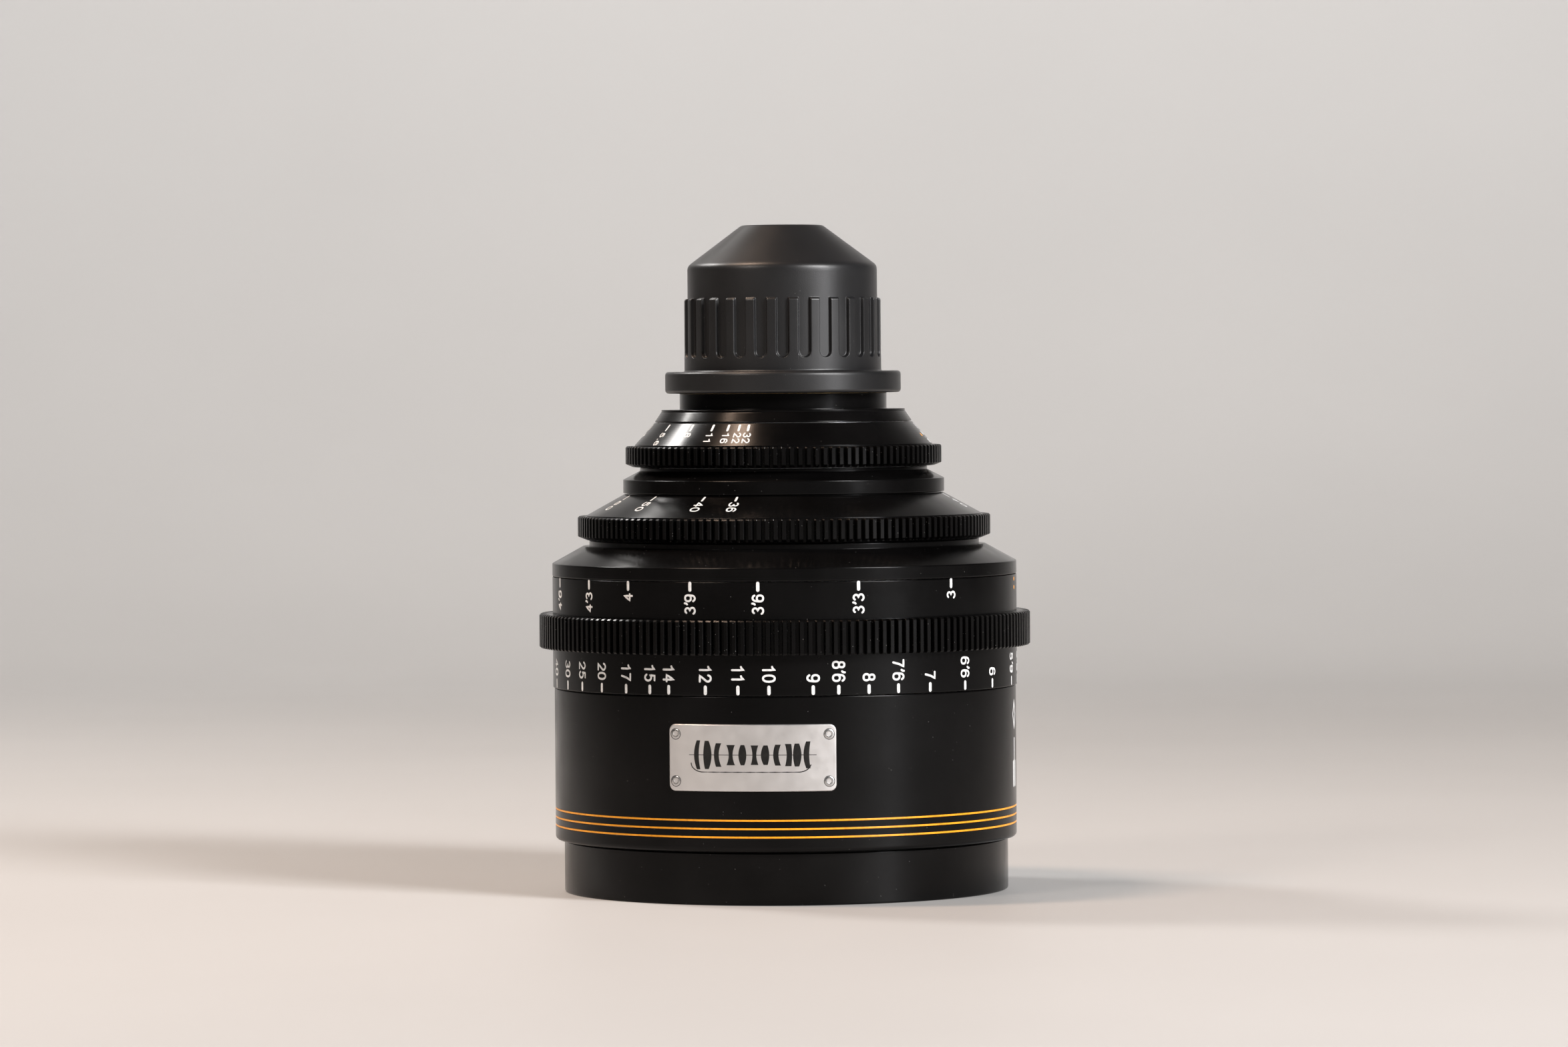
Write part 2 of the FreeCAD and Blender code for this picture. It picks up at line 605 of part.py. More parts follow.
cam_blank = tube("cam_blank", guide_r + running, cam_r, guide_low + 12.5, guide_top - 0.5)
zoom_slope = zoom_travel.value / (zoom_wide.value + zoom_tele.value)
slot_end = math.degrees((follower_r.value + pin_room) / guide_r.value)
cam_tracks = doc.addObject("Part::Feature", "cam_tracks")
cam_tracks.Shape = Part.makeCompound([
    helical_slot(guide_r.value - 1, cam_r.value + 1,
                 place - zoom_tele.value - slot_end, place + zoom_wide.value + slot_end,
                 follower_z.value - zoom_slope * (zoom_tele.value + slot_end),
                 follower_z.value + zoom_slope * (zoom_wide.value + slot_end),
                 follower_r.value + 0.15)
    for place in follower_places])
cam_slotted = less("cam_slotted", cam_blank, cam_tracks)
keep(shoulder, less("zoom_ring", zoom_ring, zoom_drive_pin), zoom_drive_pin,
     less("zoom_cam_sleeve", cam_slotted, zoom_drive_pin))


# ---------------------------------------------------------------- guide tube and zoom carriage

window_places = [60, 180, 300]
carriage_up = zoom_travel * zoom_wide / (zoom_wide + zoom_tele)
carriage_down = zoom_travel * zoom_tele / (zoom_wide + zoom_tele)
guide_tube = tube("guide_tube", guide_bore, guide_r, guide_low, guide_top)
cut_windows(guide_tube, "carriage_guide", follower_r + 0.05,
            follower_z - carriage_down - follower_r - pin_room,
            follower_z + carriage_up + follower_r + pin_room, len(follower_places))

carriage_r = guide_bore - running
carriage = turned("zoom_carriage", [
    (zoom_glass_r, carriage_low), (carriage_r, carriage_low), (carriage_r, carriage_top),
    (zoom_glass_r, carriage_top), (zoom_glass_r, carriage_top - 6.5),
    (zoom_glass_r - 2, carriage_top - 6.5), (zoom_glass_r - 2, carriage_top - 7.8),
    (zoom_glass_r + 0.5, carriage_top - 7.8), (zoom_glass_r + 0.5, carriage_low + 9.6),
    (zoom_glass_r - 2.5, carriage_low + 9.6), (zoom_glass_r - 2.5, carriage_low + 7.8),
    (zoom_glass_r, carriage_low + 7.8)])
cut_windows(carriage, "carriage_window", 4, fixed_z - carriage_up - 1.9,
            fixed_z + carriage_down + 1.9, len(window_places), behind=True)
carriage_followers = radial_pins("carriage_followers", follower_r, carriage_r - 1.8,
                                 cam_r - 0.3, [(place, follower_z) for place in follower_places])
carriage_retainers = grouped("carriage_retainers", [
    tube("carriage_front_retainer", zoom_glass_r - 3, zoom_glass_r,
         carriage_low, carriage_low + 1.5),
    tube("carriage_rear_retainer", zoom_glass_r - 3, zoom_glass_r,
         carriage_top - 2, carriage_top)])
zoom_front_lens = lens_element("zoom_front_lens", zoom_glass_r, carriage_low + 1.5,
                               carriage_low + 7.8, -300, -400)
zoom_rear_lens = lens_element("zoom_rear_lens", zoom_glass_r, carriage_top - 6.5,
                              carriage_top - 2, -250, 500)

fixed_cell_r = guide_bore - 2.7
fixed_half = 3.7
fixed_cell = turned("fixed_cell", [
    (fixed_glass_r, fixed_z - fixed_half), (fixed_cell_r, fixed_z - fixed_half),
    (fixed_cell_r, fixed_z + fixed_half), (fixed_glass_r - 2, fixed_z + fixed_half),
    (fixed_glass_r - 2, fixed_z + 2), (fixed_glass_r, fixed_z + 2)])
fixed_lens = lens_element("fixed_lens", fixed_glass_r, fixed_z - 3, fixed_z + 2, 200, 300)
fixed_screws = radial_pins("fixed_cell_screws", fixed_screw_r, fixed_glass_r + 1, guide_r - 0.1,
                           [(place, fixed_z) for place in window_places])
keep(less("guide_tube", guide_tube, fixed_screws),
     less("zoom_carriage", carriage, carriage_followers), carriage_followers,
     carriage_retainers, zoom_front_lens, zoom_rear_lens,
     less("fixed_cell", fixed_cell, fixed_screws), fixed_lens, fixed_screws)


# ---------------------------------------------------------------- zoom index collar, rear tube

keep(turned("zoom_index_collar", [
    (rear_r, collar_low), (collar_r, collar_low), (collar_r, collar_edge),
    (collar_neck_r, collar_edge + 2.7), (collar_neck_r, collar_top), (rear_r, collar_top)]))

spigot_top_r = rear_bore + 1.1
rear_tube = turned("rear_tube", [
    (rear_bore, guide_top), (guide_r, guide_top), (guide_r, collar_low), (rear_r, collar_low),
    (rear_r, rear_top), (spigot_top_r, rear_top), (spigot_top_r, lip_low), (rear_bore, lip_low)])
iris_pin_place = 180
iris_pin_swing = math.degrees((iris_pin_r.value + pin_room) / rear_bore.value)
cut_arc_slot(rear_tube, "iris_pin_slot", rear_bore - 1, rear_r + 1, iris_pin_z,
             iris_pin_r + 0.1, iris_pin_place - iris_range.value - iris_pin_swing,
             iris_range + 2 * iris_pin_swing)
keep(rear_tube)

keep(turned("relay_front_cell", [
    (relay_front_r, relay_seat - 7.5), (rear_bore, relay_seat - 7.5),
    (rear_bore, relay_seat + 2.9), (relay_front_r - 2.5, relay_seat + 2.9),
    (relay_front_r - 2.5, relay_seat), (relay_front_r, relay_seat)]))
keep(lens_element("relay_front_lens", relay_front_r, relay_seat - 4, relay_seat, 140, 200))


# ---------------------------------------------------------------- iris

base_low = blade_low - 1.25
base_plate = tube("iris_base_plate", blade_inner + 0.5, rear_bore, base_low, base_low + 1)
blades = []


def blade(number):
    """A blade with its pivot stud below and its drive stud above, made lying at +X."""
    level = blade_low.value + blade_pitch.value * number
    arms = []

    def disc(radius, x, y, low, high):
        rod = cylinder(f"blade_{number + 1}_disc_{len(arms) + 1}", radius, high - low)
        rod.Placement.Base = Vector(x, y, as_size(low).value)
        return rod

    def bar(x, y, across, along):
        plate = doc.addObject("Part::Box", f"blade_{number + 1}_bar_{len(arms) + 1}")
        plate.Length = as_size(across).value
        plate.Width = as_size(along).value
        plate.Height = bind(plate, "Height", blade_sheet)
        plate.Placement.Base = Vector(as_size(x).value, as_size(y).value, level)
        return plate

    sector = []
    for radius in (blade_outer, blade_inner):
        rod = cylinder(f"blade_{number + 1}_sector_{len(sector) + 1}", radius, blade_sheet)
        rod.Angle = bind(rod, "Angle", blade_span)
        sector.append(rod)
    leaf = doc.addObject("Part::Cut", f"blade_{number + 1}_leaf")
    leaf.Base, leaf.Tool = sector
    overlap = 3
    leaf.Placement = FreeCAD.Placement(AXIS * level,
                                       FreeCAD.Rotation(AXIS, overlap - blade_span.value))
    pivot = blade_pivot_r.value
    tab = 1.3
    sheet_top = level + blade_sheet.value
    arms.append(leaf)
    arms.append(bar(blade_outer - 1.5, -tab, blade_pivot_r - blade_outer + 1.5, 2 * tab))
    arms.append(bar(pivot - tab, 0, 2 * tab, blade_tail))
    arms.append(disc(tab, pivot, 0, level, sheet_top))
    arms.append(disc(tab, pivot, blade_tail.value, level, sheet_top))
    arms.append(disc(blade_stud_r, pivot, 0, base_low.value + 0.15, sheet_top))
    arms.append(disc(blade_stud_r, pivot, blade_tail.value, level,
                     web_low.value + web_thick.value - 0.1))
    fused = doc.addObject("Part::MultiFuse", f"iris_blade_{number + 1}")
    fused.Shapes = arms
    fused.Refine = True
    fused.Placement = FreeCAD.Placement(
        Vector(), FreeCAD.Rotation(AXIS, 360 * number / blade_count.value))
    return fused


for number in range(int(blade_count.value)):
    blades.append(blade(number))
doc.recompute()

pivot_hole = base_plate.newObject("Sketcher::SketchObject", "pivot_hole")
pivot_hole.AttachmentSupport = [(origin_feature(base_plate, "XY_Plane"), "")]
pivot_hole.MapMode = "FlatFace"
pivot_hole.AttachmentOffset = FreeCAD.Placement(AXIS * (base_low.value - 0.5),
                                                FreeCAD.Rotation())
pivot_hole.addGeometry(Part.Circle(Vector(blade_pivot_r.value, 0, 0), AXIS,
                                   blade_stud_r.value + running.value), False)
pivot_hole.addConstraint(Sketcher.Constraint("PointOnObject", 0, 3, -1))
held = pivot_hole.addConstraint(Sketcher.Constraint("DistanceX", -1, 1, 0, 3,
                                                    blade_pivot_r.value))
bind(pivot_hole, f"Constraints[{held}]", blade_pivot_r)
held = pivot_hole.addConstraint(Sketcher.Constraint("Radius", 0,
                                                    blade_stud_r.value + running.value))
bind(pivot_hole, f"Constraints[{held}]", blade_stud_r + running)
cut_along(base_plate, pivot_hole, 2, True, blade_count)


def drive_path(fraction):
    """Where a blade's drive stud is on the actuator, from open (0) to closed (1)."""
    swing = -math.radians(blade_turn.value * fraction)
    x = blade_pivot_r.value - blade_tail.value * math.sin(swing)
    y = blade_tail.value * math.cos(swing)
    around = math.atan2(y, x) + math.radians(iris_range.value * fraction)
    return Vector(math.hypot(x, y) * math.cos(around), math.hypot(x, y) * math.sin(around), 0)


def drive_slot(turn):
    """A scroll slot of the actuator, as wide as the stud with its play."""
    half = blade_stud_r.value + 0.12
    ends = 0.02
    steps = [i / 8 * (1 + 2 * ends) - ends for i in range(9)]
    sides = ([], [])
    for step in steps:
        here = drive_path(step)
        ahead = (drive_path(step + 0.001) - here).normalize()
        across = Vector(-ahead.y, ahead.x, 0) * half
        sides[0].append(here + across)
        sides[1].append(here - across)
    edges = []
    for side in sides:
        curve = Part.BSplineCurve()
        curve.interpolate(side)
        edges.append(curve.toShape())
    edges.append(Part.makeLine(sides[0][0], sides[1][0]))
    edges.append(Part.makeLine(sides[0][-1], sides[1][-1]))
    face = Part.Face(Part.Wire(Part.__sortEdges__(edges)))
    slot = face.extrude(AXIS * (web_thick.value + 1))
    slot.translate(AXIS * (web_low.value - 0.5))
    slot.rotate(Vector(), AXIS, turn)
    return slot


rim_bore = rear_bore - 1.3
actuator = turned("actuator_blank", [
    (blade_pivot_r - 0.8, web_low), (rear_bore - 0.1, web_low), (rear_bore - 0.1, web_low + 4),
    (rim_bore, web_low + 4), (rim_bore, web_low + web_thick),
    (blade_pivot_r - 0.8, web_low + web_thick)])
drive_slots = doc.addObject("Part::Feature", "drive_slots")
drive_slots.Shape = Part.makeCompound([
    drive_slot(360 * i / blade_count.value) for i in range(int(blade_count.value))])
iris_drive_pin = radial_pins("iris_drive_pin", iris_pin_r, rim_bore + 0.2, rear_r + 5,
                             [(iris_pin_place, iris_pin_z)])
slotted = less("actuator_slotted", actuator, drive_slots)

iris_gear_r = module * (iris_teeth + 2) / 2
iris_ring = turned("iris_ring", [
    (rear_r + running, iris_low), (iris_gear_r - 2.1, iris_low), (iris_gear_r, iris_gear_low),
    (iris_gear_r, iris_gear_top), (iris_foot_r, iris_gear_top + 0.4),
    (iris_crown_r, iris_top), (rear_r + running, iris_top)])
cut_gear(iris_ring, "iris_gap", iris_teeth, iris_low, iris_gear_top)
iris_retainer = tube("iris_retainer", blade_pivot_r - 0.5, rear_bore, web_low + 4.2,
                     web_low + 5.4)
keep(base_plate, *blades, less("iris_actuator", slotted, iris_drive_pin), iris_drive_pin,
     less("iris_ring", iris_ring, iris_drive_pin), iris_retainer)


# ---------------------------------------------------------------- camera mount

index_cone = turned("iris_index_cone", [
    (spigot_top_r, rear_top), (iris_crown_r, rear_top), (iris_crown_r - 2.1, lip_low),
    (spigot_top_r, lip_low)])
mount_neck = turned("mount_neck", [
    (mount_bore, lip_low), (rear_bore - 2.5, lip_low), (rear_bore - 2.5, lip_low - 5.4),
    (rear_bore, lip_low - 5.4), (rear_bore, lip_low), (rear_r - 0.7, lip_low),
    (rear_r - 0.7, lip_low + 0.7), (mount_neck_r, lip_low + 0.7),
    (mount_neck_r, mount_shim_low), (mount_bore, mount_shim_low)])
mount_shim = tube("mount_shim", mount_bore, mount_neck_r, mount_shim_low, mount_low)
camera_mount = turned("camera_mount", [
    (mount_bore, mount_low), (wing_r, mount_low), (wing_r, wing_top),
    (throat_r, wing_top), (throat_r, throat_top - 0.6), (throat_r - 0.6, throat_top),
    (mount_bore, throat_top)])
wing_gap_r = mount_neck_r - 0.2
wing_gap = outline(camera_mount, "wing_gap", "YZ_Plane", [
    (-wing_gap_half, mount_low - 1), (wing_gap_half, mount_low - 1),
    (wing_gap_half, wing_top + 1), (-wing_gap_half, wing_top + 1)], lift=wing_gap_r)
cut_along(camera_mount, wing_gap, 10, True, 4)

screw_turns = (45, 135, 225, 315)
mount_screws = []
for turn in screw_turns:
    angle = math.radians(turn)
    parts = []
    for name, radius, low, high in (("head", 1.6, wing_top - 1.4, wing_top - 0.1),
                                    ("shank", 0.9, mount_shim_low - 3.5, wing_top - 1.4)):
        rod = cylinder(f"mount_screw_{turn}_{name}", radius, high - low)
        rod.Placement.Base = Vector(mount_screw_circle.value * math.cos(angle),
                                    mount_screw_circle.value * math.sin(angle), low.value)
        parts.append(rod)
    screw = doc.addObject("Part::MultiFuse", f"mount_screw_{turn}")
    screw.Shapes = parts
    mount_screws.append(screw)
screws = grouped("mount_screws", mount_screws)
screw_room = 0.1
access = doc.addObject("Part::Feature", "screw_access")
access.Shape = Part.makeCompound([
    Part.makeCylinder(1.6, screw_room * 2,
                      Vector(mount_screw_circle.value * math.cos(math.radians(turn)),
                             mount_screw_circle.value * math.sin(math.radians(turn)),
                             wing_top.value - screw_room))
    for turn in screw_turns])
mount_opened = less("mount_opened", camera_mount, access)
keep(index_cone, less("mount_neck", mount_neck, screws), less("mount_shim", mount_shim, screws),
     less("camera_mount", mount_opened, screws), screws)

keep(turned("relay_rear_cell", [
    (relay_glass_r, relay_low), (mount_bore, relay_low), (mount_bore, relay_high),
    (relay_glass_r, relay_high), (relay_glass_r, relay_high - 14),
    (relay_glass_r - 2, relay_high - 14), (relay_glass_r - 2, relay_low + 8),
    (relay_glass_r, relay_low + 8)]))
keep(lens_element("relay_middle_lens", relay_glass_r, relay_low + 1.5, relay_low + 8, 60, -70),
     lens_element("relay_rear_lens", relay_glass_r, relay_high - 14, relay_high - 6, 60, 90),
     tube("relay_retainer", relay_glass_r - 2.5, relay_glass_r, relay_high - 6,
          relay_high - 3))


# ---------------------------------------------------------------- rear cap

rim_round = 1.0
top_round = 1.4
cap_wall_r = throat_r + 0.3
rear_cap = turned("rear_cap", [
    (wing_r + 0.5, cap_low), (cap_flange_r - rim_round, cap_low),
    (cap_flange_r, cap_low + rim_round), (cap_flange_r, cap_flange_top - rim_round),
    (cap_flange_r - rim_round, cap_flange_top), (cap_rib_r, cap_flange_top),
    (cap_rib_r, cap_rib_top), (cap_body_r, cap_rib_top), (cap_body_r, cap_shoulder),
    (cap_body_r - 0.7, cap_shoulder + 0.9), (13.6, cap_top - 0.9), (12.0, cap_top),
    (0, cap_top), (0, cap_top - 2.6), (11.6, cap_top - 2.6), (cap_wall_r - 1, cap_shoulder - 1.2),
    (cap_wall_r, cap_shoulder - 3), (cap_wall_r, wing_top + 0.1),
    (wing_r + 0.5, wing_top + 0.1)],
    {1: rim_round, 3: rim_round, 8: top_round, 10: 2.0})
groove_foot = cap_flange_top + 4.2
grip = outline(rear_cap, "grip", "YZ_Plane", [
    (-cap_groove_half, groove_foot + cap_groove_half),
    (cap_groove_half, groove_foot + cap_groove_half),
    (cap_groove_half, cap_rib_top + 1), (-cap_groove_half, cap_rib_top + 1)],
    {0: cap_groove_half * 1.0001}, lift=cap_body_r - 0.03)
cut_along(rear_cap, grip, 3, True, cap_grooves)
keep(rear_cap)


# ---------------------------------------------------------------- check and write

doc.recompute()
failed = [item.Name for item in doc.Objects if set(item.State) & {"Invalid", "Error"}]
if failed:
    raise RuntimeError(f"failed objects: {failed}")
for piece in sub_parts:
    if piece.Shape.isNull() or not piece.Shape.isValid() or not piece.Shape.Solids:
        raise RuntimeError(f"bad shape: {piece.Label}")

os.makedirs("parts", exist_ok=True)
for piece in sub_parts:
    piece.Shape.exportStep(f"parts/{piece.Label}.step")
print(f"{len(sub_parts)} sub-parts written")
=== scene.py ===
import bpy
import math
import numpy as np
from mathutils import Matrix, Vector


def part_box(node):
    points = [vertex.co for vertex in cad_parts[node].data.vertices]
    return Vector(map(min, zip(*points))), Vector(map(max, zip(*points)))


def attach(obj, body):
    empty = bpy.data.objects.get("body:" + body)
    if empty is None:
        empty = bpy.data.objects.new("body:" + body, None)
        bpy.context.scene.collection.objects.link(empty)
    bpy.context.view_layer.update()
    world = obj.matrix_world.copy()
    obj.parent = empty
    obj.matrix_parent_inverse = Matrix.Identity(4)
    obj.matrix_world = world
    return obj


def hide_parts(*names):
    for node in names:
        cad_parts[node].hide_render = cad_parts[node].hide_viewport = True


# Cine zoom lens standing on its front ring, rear cap on top. The frame is in metres;
# the shapes below are worked out in millimetres, with angles in degrees from the side
# that faces the camera (-Y) towards +X.

mm = 0.001
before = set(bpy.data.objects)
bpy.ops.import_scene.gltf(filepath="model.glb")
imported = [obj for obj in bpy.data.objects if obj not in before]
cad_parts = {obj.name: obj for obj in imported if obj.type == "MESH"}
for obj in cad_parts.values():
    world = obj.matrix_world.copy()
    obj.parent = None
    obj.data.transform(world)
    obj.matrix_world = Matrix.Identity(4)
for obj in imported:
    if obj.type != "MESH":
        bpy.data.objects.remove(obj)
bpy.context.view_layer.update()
print("frame loaded:", len(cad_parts), "nodes")


# camera

cameraSettings = {"place": (0.0, -2.047, 0.1603), "lens": 153.3, "down": 1.352, "lean": 0.43}


def addCamera(settings):
    # upright camera, tipped down a little and leaned by a fraction of a degree
    data = bpy.data.cameras.new("camera")
    data.lens = settings["lens"]
    data.sensor_width = 36
    data.clip_end = 50
    camera = bpy.data.objects.new("camera", data)
    turn = Matrix.Rotation(math.radians(90 - settings["down"]), 4, "X")
    lean = Matrix.Rotation(math.radians(-settings["lean"]), 4, "Z")
    camera.matrix_world = Matrix.Translation(settings["place"]) @ turn @ lean
    bpy.context.scene.collection.objects.link(camera)
    bpy.context.scene.camera = camera


addCamera(cameraSettings)


# mesh making

def nodeSize(name):
    # outside radius, lowest and highest height of a CAD node
    low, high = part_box(name)
    return high.x / mm, low.z / mm, high.z / mm


def gridFaces(rows, columns, closeRows, closeColumns):
    # quads between neighbours on a grid whose points are numbered row by row
    row = np.arange(rows if closeRows else rows - 1)[:, None]
    column = np.arange(columns if closeColumns else columns - 1)[None, :]
    nextRow, nextColumn = (row + 1) % rows, (column + 1) % columns
    corners = [row * columns + column, nextRow * columns + column,
               nextRow * columns + nextColumn, row * columns + nextColumn]
    return np.stack(np.broadcast_arrays(*corners), -1).reshape(-1, 4)


def meshPiece(name, shells, finish, body, replaced=(), sharp=32):
    # one object from shells of (points, faces by size), in the frame's metres
    points, loops, sizes, count = [], [], [], 0
    for shellPoints, faceGroups in shells:
        points.append(shellPoints.reshape(-1, 3) * mm)
        for faces in faceGroups:
            loops.append((faces + count).reshape(-1))
            sizes.append(np.full(len(faces), faces.shape[1]))
        count += len(points[-1])
    points, loops, sizes = np.concatenate(points), np.concatenate(loops), np.concatenate(sizes)
    starts = np.concatenate([[0], np.cumsum(sizes)[:-1]])
    mesh = bpy.data.meshes.new(name)
    mesh.vertices.add(len(points))
    mesh.vertices.foreach_set("co", points.astype(np.float32).reshape(-1))
    mesh.loops.add(len(loops))
    mesh.loops.foreach_set("vertex_index", loops.astype(np.int32))
    mesh.polygons.add(len(sizes))
    mesh.polygons.foreach_set("loop_start", starts.astype(np.int32))
    mesh.polygons.foreach_set("loop_total", sizes.astype(np.int32))
    mesh.polygons.foreach_set("use_smooth", np.ones(len(sizes), bool))
    mesh.update(calc_edges=True)
    mesh.validate()
    mesh.set_sharp_from_angle(angle=math.radians(sharp))
    mesh.materials.append(finish)
    piece = bpy.data.objects.new(name, mesh)
    bpy.context.scene.collection.objects.link(piece)
    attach(piece, body)
    if replaced:
        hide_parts(*replaced)
    return piece


def roundedSection(corners, steps=3, closed=True):
    # each (radius, height, rounding) corner becomes an arc: its centre lies on the corner's
    # bisector at rounding / sin(half angle), and it touches both edges at
    # rounding / tan(half angle); a point just outside each end keeps the flats flat
    data = np.array(corners, float)
    point, rounding = data[:, :2], data[:, 2]
    before, after = np.roll(point, 1, 0) - point, np.roll(point, -1, 0) - point
    room = np.minimum(np.linalg.norm(before, axis=1), np.linalg.norm(after, axis=1))
    before /= np.linalg.norm(before, axis=1, keepdims=True)
    after /= np.linalg.norm(after, axis=1, keepdims=True)
    half = 0.5 * np.arccos(np.clip((before * after).sum(1), -0.9999, 0.9999))
    touch = rounding / np.tan(half)
    middle = before + after
    middle /= np.linalg.norm(middle, axis=1, keepdims=True)
    centre = point + middle * (rounding / np.sin(half))[:, None]
    start = point + before * touch[:, None] - centre
    end = point + after * touch[:, None] - centre
    angle = np.arctan2(start[:, 1], start[:, 0])
    sweep = (np.arctan2(end[:, 1], end[:, 0]) - angle + np.pi) % (2 * np.pi) - np.pi
    turn = angle[:, None] + sweep[:, None] * np.linspace(0, 1, steps + 1)
    arc = centre[:, None] + rounding[:, None, None] * np.stack([np.cos(turn), np.sin(turn)], 2)
    guard = np.minimum(0.35 * rounding + 0.02, np.maximum(0.2 * (room - touch), 0.002))
    first = point + before * (touch + guard)[:, None]
    last = point + after * (touch + guard)[:, None]
    line = np.concatenate([first[:, None], arc, last[:, None]], 1)
    if closed:
        line = line.reshape(-1, 2)
        ahead = np.roll(line, -1, 0)
        area = (line[:, 0] * ahead[:, 1] - ahead[:, 0] * line[:, 1]).sum()
        return line if area > 0 else line[::-1]
    return np.concatenate([point[:1], line[1:-1].reshape(-1, 2), point[-1:]])


def filledWall(line, radius, heights):
    # more points on an upright wall, put in at its longest step in the order of the line
    wall = np.where(np.abs(line[:, 0] - radius) < 0.001)[0]
    step = np.argmax(np.abs(np.diff(line[wall, 1])))
    rising = line[wall[step + 1], 1] > line[wall[step], 1]
    heights = np.sort(heights) if rising else np.sort(heights)[::-1]
    added = np.stack([np.full_like(heights, radius), heights], 1)
    return np.insert(line, wall[step] + 1, added, 0)


def revolved(line, count=360, closed=True, shape=None):
    # radius and height of the line carried round the axis, as radius times sine and cosine of
    # the turn; shape may change both first
    turn = np.linspace(0, 2 * np.pi, count, endpoint=False) if np.isscalar(count) else count
    radius = np.broadcast_to(line[:, 0], (len(turn), len(line)))
    height = np.broadcast_to(line[:, 1], radius.shape)
    if shape is not None:
        radius, height = shape(turn[:, None], height, radius)
    points = np.stack([radius * np.sin(turn)[:, None], -radius * np.cos(turn)[:, None], height], 2)
    faces = [gridFaces(len(turn), len(line), True, closed)]
    if not closed:                                    # a flat end closes each pole
        ring = np.arange(len(turn)) * len(line)
        faces += [ring[None, ::-1], (ring + len(line) - 1)[None, :]]
    return points, faces


def ringPiece(name, corners, finish, body, replaced=()):
    # a closed section with rounded corners, turned once round the axis
    return meshPiece(name, [revolved(roundedSection(corners))], finish, body, replaced)


def toothedRim(tooth, gap, teeth, landHalf, gapHalf, edge):
    # round each tooth the section is the gap's, the tooth's, or a share of both: the floor of
    # the gap, a leaning flank, a small edge break, the land, and the same again down
    toothLine, gapLine = roundedSection(tooth, 1), roundedSection(gap, 1)
    pitch = 2 * np.pi / teeth
    tip, root = toothLine[:, 0].max(), gapLine[:, 0].max()
    share = 1 - edge / (tip - root)
    places = np.array([pitch / 2 - gapHalf / root, (landHalf + edge) / tip, landHalf / tip])
    places = np.concatenate([-places, places[::-1]])
    shares = np.tile([0, share, 1, 1, share, 0], teeth)
    turn = (np.arange(teeth)[:, None] * pitch + places).reshape(-1)
    line = gapLine + shares[:, None, None] * (toothLine - gapLine)
    radius, height = line[..., 0], line[..., 1]
    points = np.stack([radius * np.sin(turn)[:, None], -radius * np.cos(turn)[:, None], height], 2)
    return points, [gridFaces(len(turn), points.shape[1], True, True)]


# marks and figures

def arcLine(x, y, across, up, start, end, count=10):
    # part of an ellipse: centre plus the half widths times cosine and sine of the angle
    turn = np.radians(np.linspace(start, end, count))
    return np.stack([x + across * np.cos(turn), y + up * np.sin(turn)], 1)


def joinLines(*lines):
    # points and lines put end to end
    return np.concatenate([np.atleast_2d(np.array(line, float)) for line in lines])


def oval(x, y, across, up):
    # an ellipse made a little squarer by raising sine and cosine to a power below one
    turn = np.radians(np.linspace(0, 360, 21)[:-1])
    squarer = np.sign([np.cos(turn), np.sin(turn)]) * np.abs([np.cos(turn), np.sin(turn)]) ** 0.86
    return np.stack([x + across * squarer[0], y + up * squarer[1]], 1)


# each figure is strokes in a box 0.5 wide and 1 tall: (points, closed)
bowl = oval(0.25, 0.30, 0.25, 0.30)
hook = joinLines(arcLine(0.27, 0.66, 0.25, 0.34, 30, 160), [(0.0, 0.42), (0.0, 0.30)])
figures = {
    "0": [(oval(0.25, 0.5, 0.25, 0.5), True)],
    "1": [(joinLines([(0.06, 0.78), (0.20, 0.83), (0.32, 1.0), (0.32, 0.0)]), False)],
    "2": [(joinLines(arcLine(0.25, 0.73, 0.25, 0.27, 172, -30),
                     [(0.02, 0.0), (0.5, 0.0)]), False)],
    "3": [(joinLines(arcLine(0.25, 0.76, 0.215, 0.24, 150, -80),
                     arcLine(0.24, 0.26, 0.26, 0.26, 85, -155)), False)],
    "4": [(joinLines([(0.38, 0.0), (0.38, 1.0), (0.0, 0.30), (0.52, 0.30)]), False)],
    "5": [(joinLines([(0.46, 1.0), (0.10, 1.0), (0.05, 0.53)],
                     arcLine(0.24, 0.33, 0.26, 0.33, 125, -150)), False)],
    "6": [(bowl, True), (hook, False)],
    "7": [(joinLines([(0.0, 1.0), (0.5, 1.0), (0.30, 0.55), (0.17, 0.0)]), False)],
    "8": [(oval(0.25, 0.76, 0.205, 0.24), True), (oval(0.25, 0.265, 0.25, 0.265), True)],
    "9": [((0.5, 1.0) - bowl, True), ((0.5, 1.0) - hook, False)],
    "'": [(joinLines([(0.12, 1.04), (0.11, 0.92), (0.03, 0.80)]), False)],
    ".": [(joinLines([(0.08, -0.02), (0.08, 0.03)]), False)],
}
figureSteps = {"'": 0.30, ".": 0.33}


